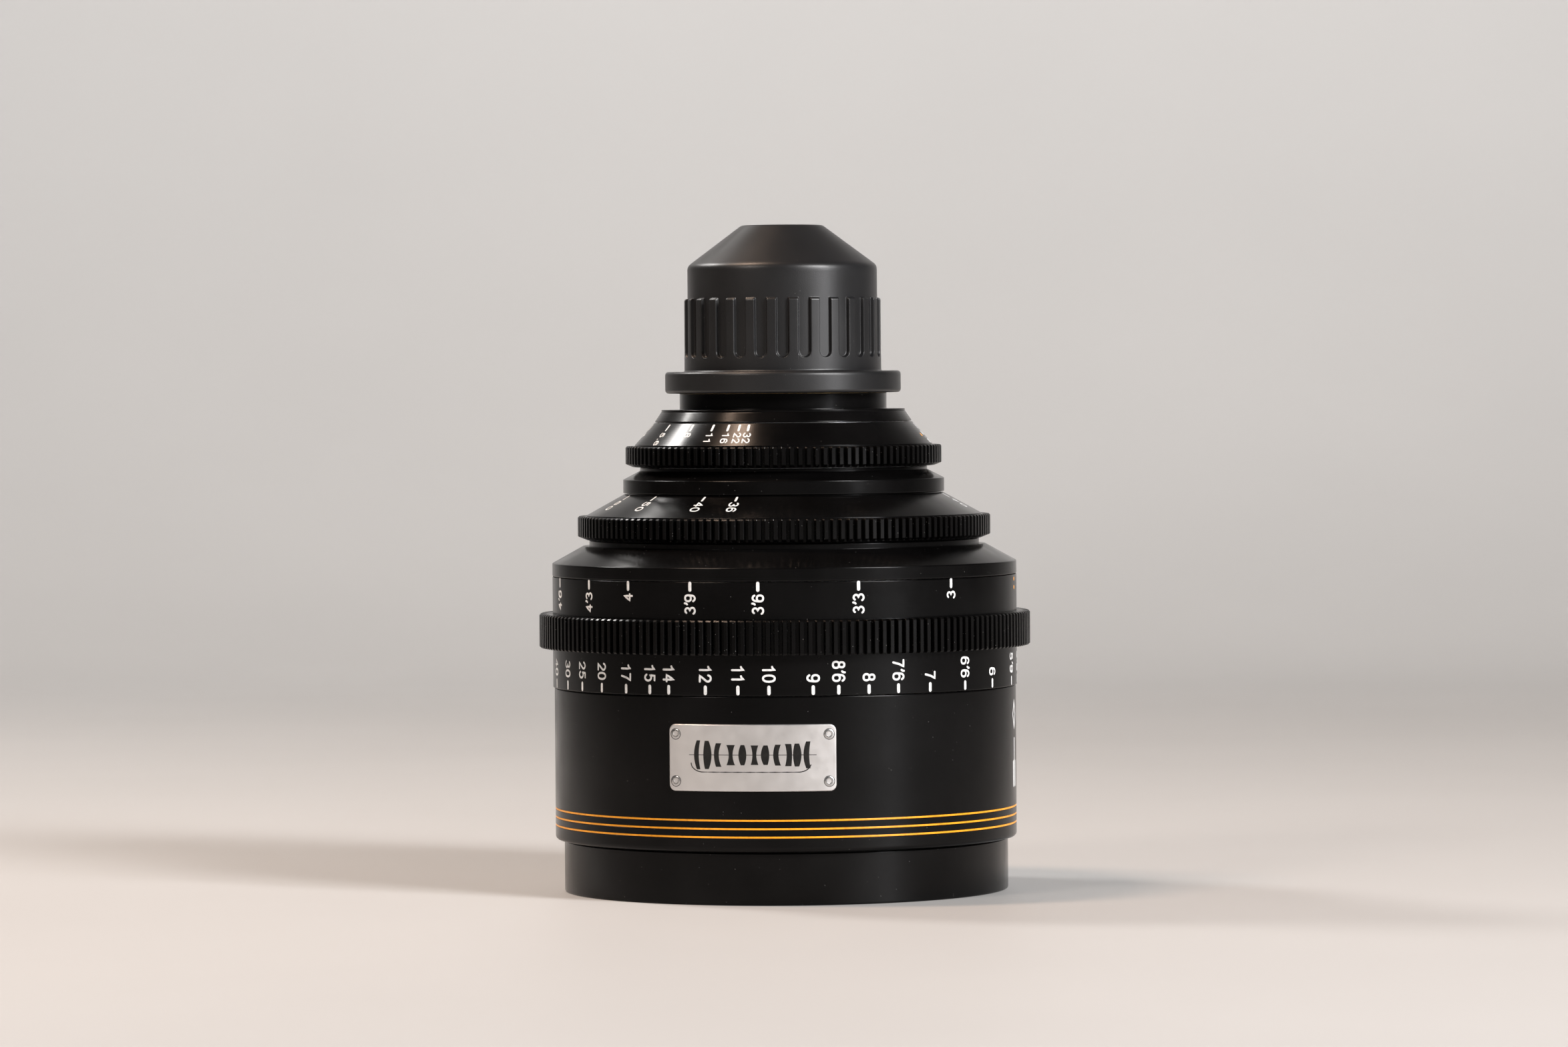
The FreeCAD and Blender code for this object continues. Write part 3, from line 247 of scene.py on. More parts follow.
def strokeShell(line, closed, half, rise, split=3):
    # a flattened bead along a line: at each point its section is an ellipse, half wide and
    # rise high, square to the line; an open stroke ends in rings that shrink as cos while
    # they run out as sin, which makes the ends round
    parts = np.linspace(0, 1, split, endpoint=False)[None, :, None]
    ahead = np.roll(line, -1, 0)
    fine = (line[:, None] + (ahead - line)[:, None] * parts).reshape(-1, 2)
    if not closed:
        fine = np.concatenate([fine[:len(fine) - split], line[-1:]])
    back = fine - np.roll(fine, 1, 0)
    onward = np.roll(fine, -1, 0) - fine
    if not closed:
        back[0], onward[-1] = onward[0], back[-1]
    back /= np.linalg.norm(back, axis=1, keepdims=True)
    onward /= np.linalg.norm(onward, axis=1, keepdims=True)
    along = back + onward
    along /= np.linalg.norm(along, axis=1, keepdims=True)
    mitre = 1 / np.maximum((along * onward).sum(1), 0.75)
    if not closed:
        out = np.radians([80, 55, 28])
        fine = np.concatenate([fine[0] - along[0] * np.sin(out)[:, None] * half, fine,
                               fine[-1] + along[-1] * np.sin(out[::-1])[:, None] * half])
        along = np.concatenate([np.tile(along[:1], (3, 1)), along, np.tile(along[-1:], (3, 1))])
        mitre = np.concatenate([np.cos(out), mitre, np.cos(out[::-1])])
    side = np.stack([along[:, 1], -along[:, 0]], 1)
    turn = np.radians(np.arange(0, 360, 45))
    across = half * mitre[:, None] * np.cos(turn)
    up = rise * np.minimum(mitre, 1)[:, None] * np.sin(turn)
    flat = fine[:, None] + side[:, None] * across[..., None]
    points = np.concatenate([flat, up[..., None]], 2)
    rows, columns = points.shape[:2]
    faces = [gridFaces(rows, columns, closed, True)]
    if not closed:
        ring = np.arange(columns)
        faces += [ring[None, ::-1], (ring + (rows - 1) * columns)[None, :]]
    return points.reshape(-1, 3), faces


def wrapped(points, lane, direction, start, turn):
    # a flat drawing (along, up, height) laid on the cone between the lane's two ends: turned
    # by the given angle, then one axis is bent round the cone at its own radius there
    foot, head = np.array(lane[0]), np.array(lane[1])
    rise = (head - foot) / np.linalg.norm(head - foot)
    turned = math.radians(turn)
    across = points[:, 0] * math.cos(turned) - points[:, 1] * math.sin(turned)
    slope = points[:, 0] * math.sin(turned) + points[:, 1] * math.cos(turned) + start
    base = foot[0] + rise[0] * slope
    radius = base + points[:, 2] * rise[1]
    height = foot[1] + rise[1] * slope - points[:, 2] * rise[0]
    angle = math.radians(direction) + across / base
    return np.stack([radius * np.sin(angle), -radius * np.cos(angle), height], 1)


def figureShells(text, style, lane, direction, edge):
    # a number whose near edge lies at the given place on the lane; it reads up or down it
    stroke = style["stroke"]
    unit = style["tall"] - stroke
    wide = unit * style["spread"]
    steps = [figureSteps.get(letter, 0.75) for letter in text]
    length = (sum(steps) - 0.25) * wide + stroke
    starts = np.concatenate([[0], np.cumsum(steps)[:-1]]) * wide + stroke / 2
    readsUp = style["turn"] == 90
    origin = edge - length if readsUp else edge
    if style["turn"] == -90 and style["endsAtEdge"]:
        origin = edge + length
    shells = []
    for letter, begin in zip(text, starts):
        for line, closed in figures[letter]:
            drawn = line * (wide, unit) + (begin, -unit / 2)
            points, faces = strokeShell(drawn, closed, stroke / 2, style["rise"])
            shells.append((wrapped(points, lane, direction, origin, style["turn"]), faces))
    return shells


def barShell(lane, direction, low, high, half, rise):
    # a straight stroke up the lane, its round ends kept inside the given places
    points, faces = strokeShell(np.array([(low + half * 0.3, 0.0), (high - half * 0.3, 0.0)]),
                                False, half, rise, split=4)
    return wrapped(points, lane, direction, 0.0, 90), faces


def scaleMarks(name, marks, style, lane, finish, body):
    # ticks and their numbers, for (text, direction) pairs
    shells = []
    low, high = style["tick"]
    for text, direction in marks:
        shells.append(barShell(lane, direction, low, high, style["tickWide"] / 2, style["rise"]))
        if text:
            edge = high + style["gap"] if style["above"] else low - style["gap"]
            shells += figureShells(text, style, lane, direction, edge)
    return meshPiece(name, shells, finish, body, sharp=60)


# finishes

def newFinish(name, color, roughness, metallic=0.0):
    material = bpy.data.materials.new(name)
    material.use_nodes = True
    tree = material.node_tree
    shader = tree.nodes["Principled BSDF"]
    shader.inputs["Base Color"].default_value = (*color, 1)
    shader.inputs["Roughness"].default_value = roughness
    shader.inputs["Metallic"].default_value = metallic
    place = tree.nodes.new("ShaderNodeTexCoord").outputs["Object"]
    return material, tree, shader, place


def addNoise(tree, place, scale, detail=2.0, stretch=None):
    if stretch:
        mapping = tree.nodes.new("ShaderNodeMapping")
        mapping.inputs["Scale"].default_value = stretch
        tree.links.new(place, mapping.inputs["Vector"])
        place = mapping.outputs["Vector"]
    noise = tree.nodes.new("ShaderNodeTexNoise")
    noise.inputs["Scale"].default_value = scale
    noise.inputs["Detail"].default_value = detail
    tree.links.new(place, noise.inputs["Vector"])
    return noise.outputs["Fac"]


def addRange(tree, value, low, high, fromLow=0.3, fromHigh=0.7):
    spread = tree.nodes.new("ShaderNodeMapRange")
    spread.inputs["From Min"].default_value = fromLow
    spread.inputs["From Max"].default_value = fromHigh
    spread.inputs["To Min"].default_value = low
    spread.inputs["To Max"].default_value = high
    tree.links.new(value, spread.inputs["Value"])
    return spread.outputs["Result"]


def addMath(tree, operation, first, second):
    node = tree.nodes.new("ShaderNodeMath")
    node.operation = operation
    for socket, value in zip(node.inputs, (first, second)):
        if isinstance(value, (int, float)):
            socket.default_value = value
        else:
            tree.links.new(value, socket)
    return node.outputs["Value"]


def addMix(tree, factor, first, second):
    mix = tree.nodes.new("ShaderNodeMix")
    mix.data_type = "RGBA"
    tree.links.new(factor, mix.inputs["Factor"])
    for index, value in ((6, first), (7, second)):
        if isinstance(value, tuple):
            mix.inputs[index].default_value = (*value, 1)
        else:
            tree.links.new(value, mix.inputs[index])
    return mix.outputs[2]


def addBump(tree, shader, height, strength, distance):
    bump = tree.nodes.new("ShaderNodeBump")
    bump.inputs["Strength"].default_value = strength
    bump.inputs["Distance"].default_value = distance
    tree.links.new(height, bump.inputs["Height"])
    tree.links.new(bump.outputs["Normal"], shader.inputs["Normal"])


def addDust(tree, place, cells, size, share):
    # specks: a small round spot in the middle of a few of the cells
    voronoi = tree.nodes.new("ShaderNodeTexVoronoi")
    voronoi.inputs["Scale"].default_value = cells
    tree.links.new(place, voronoi.inputs["Vector"])
    parts = tree.nodes.new("ShaderNodeSeparateColor")
    tree.links.new(voronoi.outputs["Color"], parts.inputs["Color"])
    near = addMath(tree, "LESS_THAN", voronoi.outputs["Distance"], size)
    chosen = addMath(tree, "LESS_THAN", parts.outputs["Red"], share)
    return addMath(tree, "MULTIPLY", near, chosen)


dustSettings = {"radius": 0.10, "pale": (0.34, 0.33, 0.32), "warm": (0.24, 0.23, 0.22)}
anodisedSettings = {"dark": (0.0011, 0.0010, 0.0010), "light": (0.0036, 0.0034, 0.0034),
                    "smooth": 0.15, "dull": 0.25, "gloss": 0.15, "dustCells": 1500.0,
                    "dustStrength": 0.85, "latheDepth": 0.00003}


def anodisedFinish(name, settings, turned=0.12, dust=0.025, shift=0.0):
    material, tree, shader, place = newFinish(name, settings["dark"], settings["smooth"])
    smudge = addNoise(tree, place, 38.0, 5.0)
    color = addMix(tree, addRange(tree, smudge, 0.0, 1.0), settings["dark"], settings["light"])
    specks = addMath(tree, "MULTIPLY",
                     addDust(tree, place, settings["dustCells"], dustSettings["radius"], dust),
                     settings["dustStrength"])
    color = addMix(tree, specks, color, dustSettings["pale"])
    tree.links.new(color, shader.inputs["Base Color"])
    wipe = addNoise(tree, place, 90.0, 6.0)
    tree.links.new(addRange(tree, wipe, settings["smooth"] + shift, settings["dull"] + shift),
                   shader.inputs["Roughness"])
    shader.inputs["Specular IOR Level"].default_value = settings["gloss"]
    lathe = addNoise(tree, place, 1.0, 3.0, stretch=(60, 60, 9000))
    addBump(tree, shader, lathe, turned, settings["latheDepth"])
    return material


def metalFinish(name, dark, light, roughness, grain=2600.0, strength=0.18, metallic=1.0):
    material, tree, shader, place = newFinish(name, dark, roughness, metallic)
    cloud = addNoise(tree, place, 55.0, 4.0)
    tree.links.new(addMix(tree, addRange(tree, cloud, 0.0, 1.0), dark, light),
                   shader.inputs["Base Color"])
    tree.links.new(addRange(tree, addNoise(tree, place, 240.0, 5.0), roughness - 0.05,
                            roughness + 0.08), shader.inputs["Roughness"])
    addBump(tree, shader, addNoise(tree, place, grain, 2.0), strength, 0.00004)
    return material


def paintFinish(name, color, worn, roughness=0.45):
    material, tree, shader, place = newFinish(name, color, roughness)
    patches = addNoise(tree, place, 900.0, 3.0)
    tree.links.new(addMix(tree, addRange(tree, patches, 0.0, 1.0, 0.45, 0.8), color, worn),
                   shader.inputs["Base Color"])
    addBump(tree, shader, patches, 0.1, 0.00002)
    return material


def plasticFinish(name, settings):
    material, tree, shader, place = newFinish(name, settings["dark"], settings["smooth"])
    cloud = addNoise(tree, place, 30.0, 4.0)
    color = addMix(tree, addRange(tree, cloud, 0.0, 1.0), settings["dark"], settings["light"])
    specks = addMath(tree, "MULTIPLY",
                     addDust(tree, place, settings["dustCells"], dustSettings["radius"],
                             settings["dust"]), settings["dustStrength"])
    tree.links.new(addMix(tree, specks, color, dustSettings["warm"]),
                   shader.inputs["Base Color"])
    tree.links.new(addRange(tree, addNoise(tree, place, 70.0, 5.0), settings["smooth"],
                            settings["dull"]), shader.inputs["Roughness"])
    shader.inputs["Specular IOR Level"].default_value = settings["gloss"]
    addBump(tree, shader, addNoise(tree, place, 4200.0, 2.0), settings["grain"], 0.00004)
    return material


def glassFinish(name, tint):
    material, tree, shader, place = newFinish(name, tint, 0.02)
    shader.inputs["Transmission Weight"].default_value = 1.0
    shader.inputs["IOR"].default_value = 1.62
    shader.inputs["Coat Weight"].default_value = 0.6
    shader.inputs["Coat Tint"].default_value = (0.55, 0.75, 0.62, 1)
    haze = addNoise(tree, place, 60.0, 4.0)
    tree.links.new(addRange(tree, haze, 0.01, 0.05), shader.inputs["Roughness"])
    return material


blackAnodised = anodisedFinish("blackAnodised", anodisedSettings)
gearAnodised = anodisedFinish("gearAnodised", anodisedSettings, turned=0.05, dust=0.16, shift=0.06)
innerBlack = anodisedFinish("innerBlack", anodisedSettings, turned=0.3, dust=0.0, shift=0.25)
whitePaint = paintFinish("whitePaint", (0.86, 0.86, 0.85), (0.60, 0.60, 0.59))
goldPaint = paintFinish("goldPaint", (1.0, 0.40, 0.015), (0.80, 0.28, 0.01), 0.32)
# black: the lens diagram's print, and the painted shade ring round each screw head
blackPaint = paintFinish("blackPaint", (0.003, 0.003, 0.003), (0.012, 0.011, 0.010), 0.35)
plateMetal = metalFinish("plateMetal", (0.68, 0.665, 0.655), (0.76, 0.745, 0.735), 0.38,
                         metallic=0.8)
screwSteel = metalFinish("screwSteel", (0.50, 0.50, 0.50), (0.62, 0.61, 0.60), 0.24)
machined = metalFinish("machinedAluminium", (0.60, 0.60, 0.61), (0.72, 0.72, 0.73), 0.30)
brass = metalFinish("bearingBrass", (0.62, 0.42, 0.17), (0.74, 0.52, 0.24), 0.28)
blueSteel = metalFinish("blackenedSteel", (0.030, 0.031, 0.034), (0.055, 0.055, 0.058), 0.42)
chrome = metalFinish("brightSteel", (0.62, 0.62, 0.62), (0.74, 0.74, 0.74), 0.20)
plasticSettings = {"dark": (0.0075, 0.0074, 0.0078), "light": (0.012, 0.012, 0.0128),
                   "smooth": 0.33, "dull": 0.40, "grain": 0.5, "gloss": 0.5,
                   "dustCells": 1300.0, "dust": 0.012, "dustStrength": 0.6}
capPlastic = plasticFinish("capPlastic", plasticSettings)
lensGlass = glassFinish("lensGlass", (0.93, 0.97, 0.95))

slotFinishes = {"black_anodised": innerBlack, "plate_aluminium": plateMetal,
                "cap_plastic": capPlastic, "lens_glass": lensGlass, "inner_aluminium": machined,
                "bearing_brass": brass, "blackened_steel": blueSteel, "bright_steel": chrome}
for nodeName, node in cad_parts.items():
    for materialSlot in node.material_slots:
        known = [key for key in slotFinishes if materialSlot.material.name.startswith(key)]
        materialSlot.material = slotFinishes[known[0]] if known else innerBlack
print("finishes made")


# front ring and barrel

frontR, frontLow, frontSeat = nodeSize("front_ring")
frontSettings = {"top": 15.6, "spigotR": 66.4, "threadR": 63.5, "threadDepth": 6.0,
                 "threadPitch": 0.75, "threadTall": 0.22, "boreR": 62.8}


def threadShape(settings):
    # V thread: the radius is a triangle wave of height / pitch less the turn, on the bore wall
    # above half a millimetre
    def shape(turn, height, radius):
        wave = np.abs(((height / settings["threadPitch"] - turn / (2 * np.pi)) % 1) - 0.5) * 2
        inside = (np.abs(radius - settings["threadR"]) < 0.01) & (height > 0.5)
        return radius - np.where(inside, settings["threadTall"] * wave, 0.0), height
    return shape


def frontRing(settings):
    # an L section with the thread in its bore; the stepped top carries the barrel
    corners = [(settings["threadR"], frontLow, 0.25), (frontR, frontLow, 0.5),
               (frontR, settings["top"], 0.25), (settings["spigotR"], settings["top"], 0.05),
               (settings["spigotR"], frontSeat, 0.1), (settings["boreR"], frontSeat, 0.1),
               (settings["boreR"], settings["threadDepth"], 0.05),
               (settings["threadR"], settings["threadDepth"], 0.05)]
    line = roundedSection(corners)
    threaded = np.linspace(settings["threadDepth"] - 0.3, 0.6, 58)
    line = filledWall(line, settings["threadR"], threaded)
    ring = revolved(line, 288, shape=threadShape(settings))
    return meshPiece("frontRing", [ring], blackAnodised, "lens_barrel",
                     ["front_ring"])


frontRing(frontSettings)

barrelR, barrelLow, barrelTop = nodeSize("front_barrel")
barrelSettings = {"stripes": (20.5, 23.0, 25.5), "stripeHalf": 0.32, "stripeDeep": 0.2,
                  "liner": 65.5, "relief": 67.5, "seat": 20.0}


def frontBarrel(settings):
    # a tube with three grooves cut in its skin, and the paint that fills them
    outside = [(frontSettings["spigotR"], barrelLow, 0.1), (barrelR, barrelLow, 1.1)]
    for height in settings["stripes"]:
        half, deep = settings["stripeHalf"], barrelR - settings["stripeDeep"]
        outside += [(barrelR, height - half, 0.05), (deep, height - half, 0.03),
                    (deep, height + half, 0.03), (barrelR, height + half, 0.05)]
    outside += [(barrelR, barrelTop, 0.3), (settings["liner"], barrelTop, 0.1),
                (settings["liner"], barrelTop - 4, 0.1), (settings["relief"], barrelTop - 6, 0.1),
                (settings["relief"], settings["seat"] + 6, 0.1),
                (settings["liner"], settings["seat"] + 4, 0.1),
                (settings["liner"], settings["seat"], 0.1),
                (frontSettings["spigotR"], settings["seat"], 0.1)]
    ringPiece("frontBarrel", outside, blackAnodised, "lens_barrel",
              ["front_barrel"])
    fill = [revolved(roundedSection([
        (barrelR - 0.35, height - half * 0.9, 0.05), (barrelR - 0.03, height - half * 0.9, 0.08),
        (barrelR - 0.03, height + half * 0.9, 0.08), (barrelR - 0.35, height + half * 0.9, 0.05)]))
        for height in settings["stripes"]]
    meshPiece("goldStripes", fill, goldPaint, "lens_barrel")


frontBarrel(barrelSettings)
print("front ring and barrel made")


# nameplate

plateLow, plateHigh = [corner.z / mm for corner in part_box("nameplate")]
plateSettings = {"direction": -8.4, "span": 41.2, "thick": 0.8, "corner": 2.0, "edge": 0.28,
                 "screwAcross": 18.8, "screwUp": 7.0, "screwR": 1.5, "socket": 0.62}


def plateLane():
    # the plate's top face, from its lower edge to its upper edge
    radius = barrelR + plateSettings["thick"]
    return ((radius, plateLow), (radius, plateHigh))


def platePoints(inset, height, settings, count=200):
    # rounded rectangle moved in by an inset: each corner is a quarter turn round its centre,
    # with the straight sides filled in evenly between the corners
    across = math.radians(settings["span"]) * (barrelR + settings["thick"]) / 2 - inset
    up = (plateHigh - plateLow) / 2 - inset
    corner = np.clip(settings["corner"] - inset, 0.04, min(across, up))
    quarter = np.linspace(0, np.pi / 2, 9)
    outline = []
    for signX, signY, start in ((1, 1, 0), (-1, 1, 1), (-1, -1, 2), (1, -1, 3)):
        turn = quarter + start * np.pi / 2
        outline.append(np.stack([signX * (across - corner) + corner * np.cos(turn),
                                 signY * (up - corner) + corner * np.sin(turn)], 1))
    outline = np.concatenate(outline)
    ends = np.concatenate([outline, outline[:1]])
    weight = np.linspace(0, 1, 7, endpoint=False)
    long = np.linspace(0, 1, 41, endpoint=False)
    pieces = []
    for side in range(4):
        block = outline[side * 9:side * 9 + 8]
        first, second = outline[side * 9 + 8], ends[side * 9 + 9]
        share = long if side % 2 == 0 else weight
        pieces += [block, first + (second - first) * share[:, None]]
    flat = np.concatenate(pieces)
    return np.concatenate([flat, np.full((len(flat), 1), height)], 1)


def nameplate(settings):
    # rounded rectangles from the back edge over the bevel to the middle line, then all bent
    # round the barrel
    edge, thick = settings["edge"], settings["thick"]
    half = (plateHigh - plateLow) / 2
    insets = [0.0, 0.0, 0.04, edge * 0.45, edge * 0.8, edge, edge + 0.1,
              *np.linspace(edge + 0.6, half - 0.3, 12)]
    heights = [-thick, -edge, -edge * 0.75, -edge * 0.30, -edge * 0.08, -0.004, 0.0] + [0.0] * 12
    rings = [platePoints(inset, height, settings) for inset, height in zip(insets, heights)]
    count = len(rings[0])
    flat = np.stack(rings, 1)                          # rows go round, columns go inwards
    points = wrapped(flat.reshape(-1, 3), plateLane(), settings["direction"], half, 0)
    ring = np.arange(count) * len(rings)
    # the last ring is closed by a strip between its upper points and those below them: point
    # 121 of the ring lies below point 0, and the strip starts at the middle of the right side
    below = 121
    pair = np.arange(-3, 60)
    strip = np.stack([pair, pair + 1, below - 1 - pair, below - pair], 1) % count
    faces = [gridFaces(count, len(rings), True, False), (strip * len(rings))[:, ::-1],
             strip * len(rings) + len(rings) - 1]
    meshPiece("barrelPlate", [(points, faces)], plateMetal, "lens_barrel",
              ["nameplate"])


def socketScrew(settings):
    # head turned round its own axis; inside, the radius of the socket follows a hexagon:
    # flat distance / cos(turn from the middle of the nearest flat)
    turn = np.radians(np.arange(0, 360, 7.5))
    hexagon = 1 / np.cos((turn + np.pi / 6) % (np.pi / 3) - np.pi / 6)
    r, socket = settings["screwR"], settings["socket"]
    rows = [(r, -1.0, 0), (r, -0.06, 0), (r - 0.05, 0.03, 0), (r - 0.18, 0.09, 0),
            (socket + 0.22, 0.11, 0), (socket + 0.06, 0.08, 1), (socket, 0.0, 1),
            (socket, -0.55, 1), (socket * 0.3, -0.62, 0)]
    radius = np.array([[size * (1 + flat * (edge - 1)) for size, _, flat in rows]
                       for edge in hexagon])
    height = np.broadcast_to(np.array([row[1] for row in rows]), radius.shape)
    points = np.stack([radius * np.cos(turn)[:, None], radius * np.sin(turn)[:, None], height], 2)
    ring = np.arange(len(turn)) * len(rows)
    faces = [gridFaces(len(turn), len(rows), True, False), ring[None, ::-1],
             (ring + len(rows) - 1)[None, :]]
    return points.reshape(-1, 3), faces


def nameplateScrews(settings):
    head, shadeRings = socketScrew(settings), []
    middle = (plateHigh - plateLow) / 2
    screws = []
    turn = np.radians(np.arange(0, 360, 15))
    circle = np.stack([np.cos(turn), np.sin(turn)], 1)
    for across in (-1, 1):
        for up in (-1, 1):
            direction = settings["direction"] + across * settings["screwAcross"]
            height = middle + up * settings["screwUp"]
            screws.append((wrapped(head[0], plateLane(), direction, height, 0), head[1]))
            # a thin black ring round each head: painted shade for the gap the head sits in
            points, faces = strokeShell(circle * (settings["screwR"] + 0.10), True, 0.09, 0.03, 1)
            shadeRings.append((wrapped(points, plateLane(), direction, height, 0), faces))
    meshPiece("nameplateScrews", screws, screwSteel, "lens_barrel",
              ["nameplate_screws"], sharp=28)
    meshPiece("screwSeats", shadeRings, blackPaint, "lens_barrel")


def filledShell(left, right, rise):
    # a thin solid between two edge lines: each row runs down one side, over and down the other
    share = np.linspace(0, 1, 5)[None, :, None]
    across = left[:, None] + (right - left)[:, None] * share
    across = np.concatenate([across[:, :1], across, across[:, -1:]], 1)
    height = np.array([-rise, rise * 0.5, rise, rise, rise, rise * 0.5, -rise])
    rows, columns = across.shape[:2]
    height = np.broadcast_to(height[None, :, None], (rows, columns, 1))
    points = np.concatenate([across, height], 2)
    ring = np.arange(columns)
    return points.reshape(-1, 3), [gridFaces(rows, columns, False, True)[:, ::-1], ring[None, :],
                                   (ring + (rows - 1) * columns)[None, ::-1]]


# each glass is (place, half height, bulge of the left side, bulge of the right, half width)
diagramSettings = {"axis": 0.9, "from": -19.0, "to": 19.6, "hairline": 0.09, "line": 0.15,
                   "ink": 0.03, "glasses": [
                       (-16.0, 4.3, 0.9, -0.5, 0.55), (-13.4, 4.2, 0.5, 0.9, 0.6),
                       (-9.7, 3.5, 0.6, -0.8, 0.85), (-6.0, 3.0, -0.7, -0.7, 1.3),
                       (-2.4, 3.0, 0.7, 0.6, 0.55), (1.2, 2.9, -0.5, -0.6, 1.15),
                       (4.5, 2.9, 0.8, 0.5, 0.6), (8.2, 3.1, 0.6, -0.7, 0.85),
                       (11.2, 3.3, -0.5, 0.2, 0.95), (13.8, 3.4, 0.5, 0.7, 0.65),
                       (17.2, 4.0, 0.8, -0.4, 0.65)]}


def lensDiagram(settings, direction):
    # generic engraving: the section of a zoom lens, its glasses filled in, its axis a hairline
    # and the path of the moving group a line below; the side of a glass bulges as one less the
    # square of the height
    shells, axis, ink = [], settings["axis"], settings["ink"]
    share = np.linspace(-1, 1, 15)
    for place, half, front, back, wide in settings["glasses"]:
        left = np.stack([place - wide - front * (1 - share ** 2), axis + half * share], 1)
        right = np.stack([place + wide + back * (1 - share ** 2), axis + half * share], 1)
        shells.append(filledShell(left, right, ink))
    shells.append(strokeShell(np.array([(settings["from"], axis), (settings["to"], axis)]), False,
                              settings["hairline"], 0.025, 40))
    path = joinLines(arcLine(-14.6, -1.6, 3.8, 2.6, 180, 264, 9),
                     arcLine(14.2, -1.6, 3.8, 2.6, 276, 350, 9))
    shells.append(strokeShell(path, False, settings["line"], ink, 8))
    middle = (plateHigh - plateLow) / 2
    shells = [(wrapped(points, plateLane(), direction, middle, 0), faces)
              for points, faces in shells]
    meshPiece("lensDiagram", shells, blackPaint, "lens_barrel")


nameplate(plateSettings)
nameplateScrews(plateSettings)
lensDiagram(diagramSettings, plateSettings["direction"])


sideSettings = {"direction": 80.5, "low": 30.0, "high": 62.0, "ink": 0.04,
                "lozenge": [(-2.4, 23.6), (0.0, 27.6), (2.4, 23.6), (0.0, 19.6)],
                "bars": [(0.0, 2.0, 16.0), (-1.9, 2.0, 9.0), (1.9, 2.0, 9.0)]}


def sideMark(settings):
    # generic painted mark on the barrel's right side: an outlined lozenge over three bars
    lane = ((barrelR, settings["low"]), (barrelR, settings["high"]))
    ink = settings["ink"]
    shells = [strokeShell(np.array(settings["lozenge"]), True, 0.5, ink, 6)]
    for across, low, high in settings["bars"]:
        shells.append(strokeShell(np.array([(across, low), (across, high)]), False, 0.6, ink, 10))
    shells = [(wrapped(points, lane, settings["direction"], 0.0, 0), faces)
              for points, faces in shells]
    meshPiece("sideMark", shells, whitePaint, "lens_barrel")


sideMark(sideSettings)
print("nameplate made")


# focus ring

focusTip, focusLow, focusTop = nodeSize("focus_ring")
focusSettings = {"bandR": 71.1, "bore": 68.65, "gear": (74.7, 85.0), "teeth": 186, "deep": 1.8,
                 "landHalf": 0.52, "gapHalf": 0.42, "edge": 0.10, "chamfer": 0.42, "round": 0.20}


def focusRing(settings):
    # the toothed rim, and the plain tube that carries both scales
    low, high = settings["gear"]
    inner, cut = settings["bandR"] - 0.4, settings["chamfer"]
    sections = [[(inner, low, 0.05), (tip, low, cut), (tip, high, cut), (inner, high, 0.05)]
                for tip in (focusTip, focusTip - settings["deep"])]
    rim = toothedRim(*sections, settings["teeth"], settings["landHalf"], settings["gapHalf"],
                     settings["edge"])
    meshPiece("focusGear", [rim], gearAnodised, "focus", sharp=20)
    band, bore, rounding = settings["bandR"], settings["bore"], settings["round"]
    ringPiece("focusRing", [(bore, focusLow, 0.1), (band, focusLow, rounding),
                            (band, focusTop, rounding), (bore, focusTop, 0.1)],
              blackAnodised, "focus", ["focus_ring"])


focusRing(focusSettings)

lowerMarks = [("", -99.7), ("40", -77.8), ("30", -67.7), ("25", -59.3), ("20", -50.7), ("17", -42),
              ("15", -34.6), ("14", -29.2), ("12", -19.5), ("11", -11.4), ("10", -3.9), ("9", 6.7),
              ("8'6", 12.9), ("8", 20.5), ("7'6", 28.3), ("7", 37.5), ("6'6", 49.4), ("6", 61.6),
              ("5'9", 75.5), ("5'6", 86.3), ("5'3", 99.3), ("5", 113.3), ("4'9", 129.3)]
upperMarks = [("5'6", -141), ("5'3", -126), ("5", -110), ("4'9", -91.5), ("4'6", -73.5),
              ("4'3", -55.8), ("4", -41.1), ("3'9", -23.3), ("3'6", -6.4), ("3'3", 18),
              ("3", 44.5)]
focusLane = ((focusSettings["bandR"], 0.0), (focusSettings["bandR"], 100.0))
lowerStyle = {"tall": 4.1, "stroke": 0.62, "spread": 1.06, "rise": 0.035, "turn": -90,
              "endsAtEdge": True, "tick": (63.1, 65.3), "tickWide": 1.0, "gap": 1.2, "above": True}
upperStyle = {"tall": 3.75, "stroke": 0.60, "spread": 1.12, "rise": 0.035, "turn": 90,
              "endsAtEdge": True, "tick": (93.8, 96.1), "tickWide": 1.0, "gap": 1.1,
              "above": False}


def goldDots(name, places, lane, body):
    # dots at (direction, place along the lane): a stroke as wide as its own small circle
    turn, middle, half = np.radians(np.arange(0, 360, 20)), 0.33, 0.32
    dot = np.stack([np.cos(turn), np.sin(turn)], 1) * middle
    points, faces = strokeShell(dot, True, half, 0.035, 1)
    shells = [(wrapped(points, lane, direction, along, 0), faces) for direction, along in places]
    meshPiece(name, shells, goldPaint, body)


scaleMarks("lowerFocusScale", lowerMarks, lowerStyle, focusLane, whitePaint, "focus")
scaleMarks("upperFocusScale", upperMarks, upperStyle, focusLane, whitePaint, "focus")
goldDots("nearStop", [(79.5, 92.4), (79.5, 95.0)], focusLane, "focus")
print("focus ring made")


# shoulder and zoom ring

shoulderR, shoulderLow, shoulderTop = nodeSize("shoulder_housing")
shoulderSettings = {"edge": 100.4, "neckR": 59.7, "neckLow": 105.6, "neckTop": 107.3,
                    "tubeR": 48.0, "bore": 45.4, "liner": 65.5, "floor": 100.3}


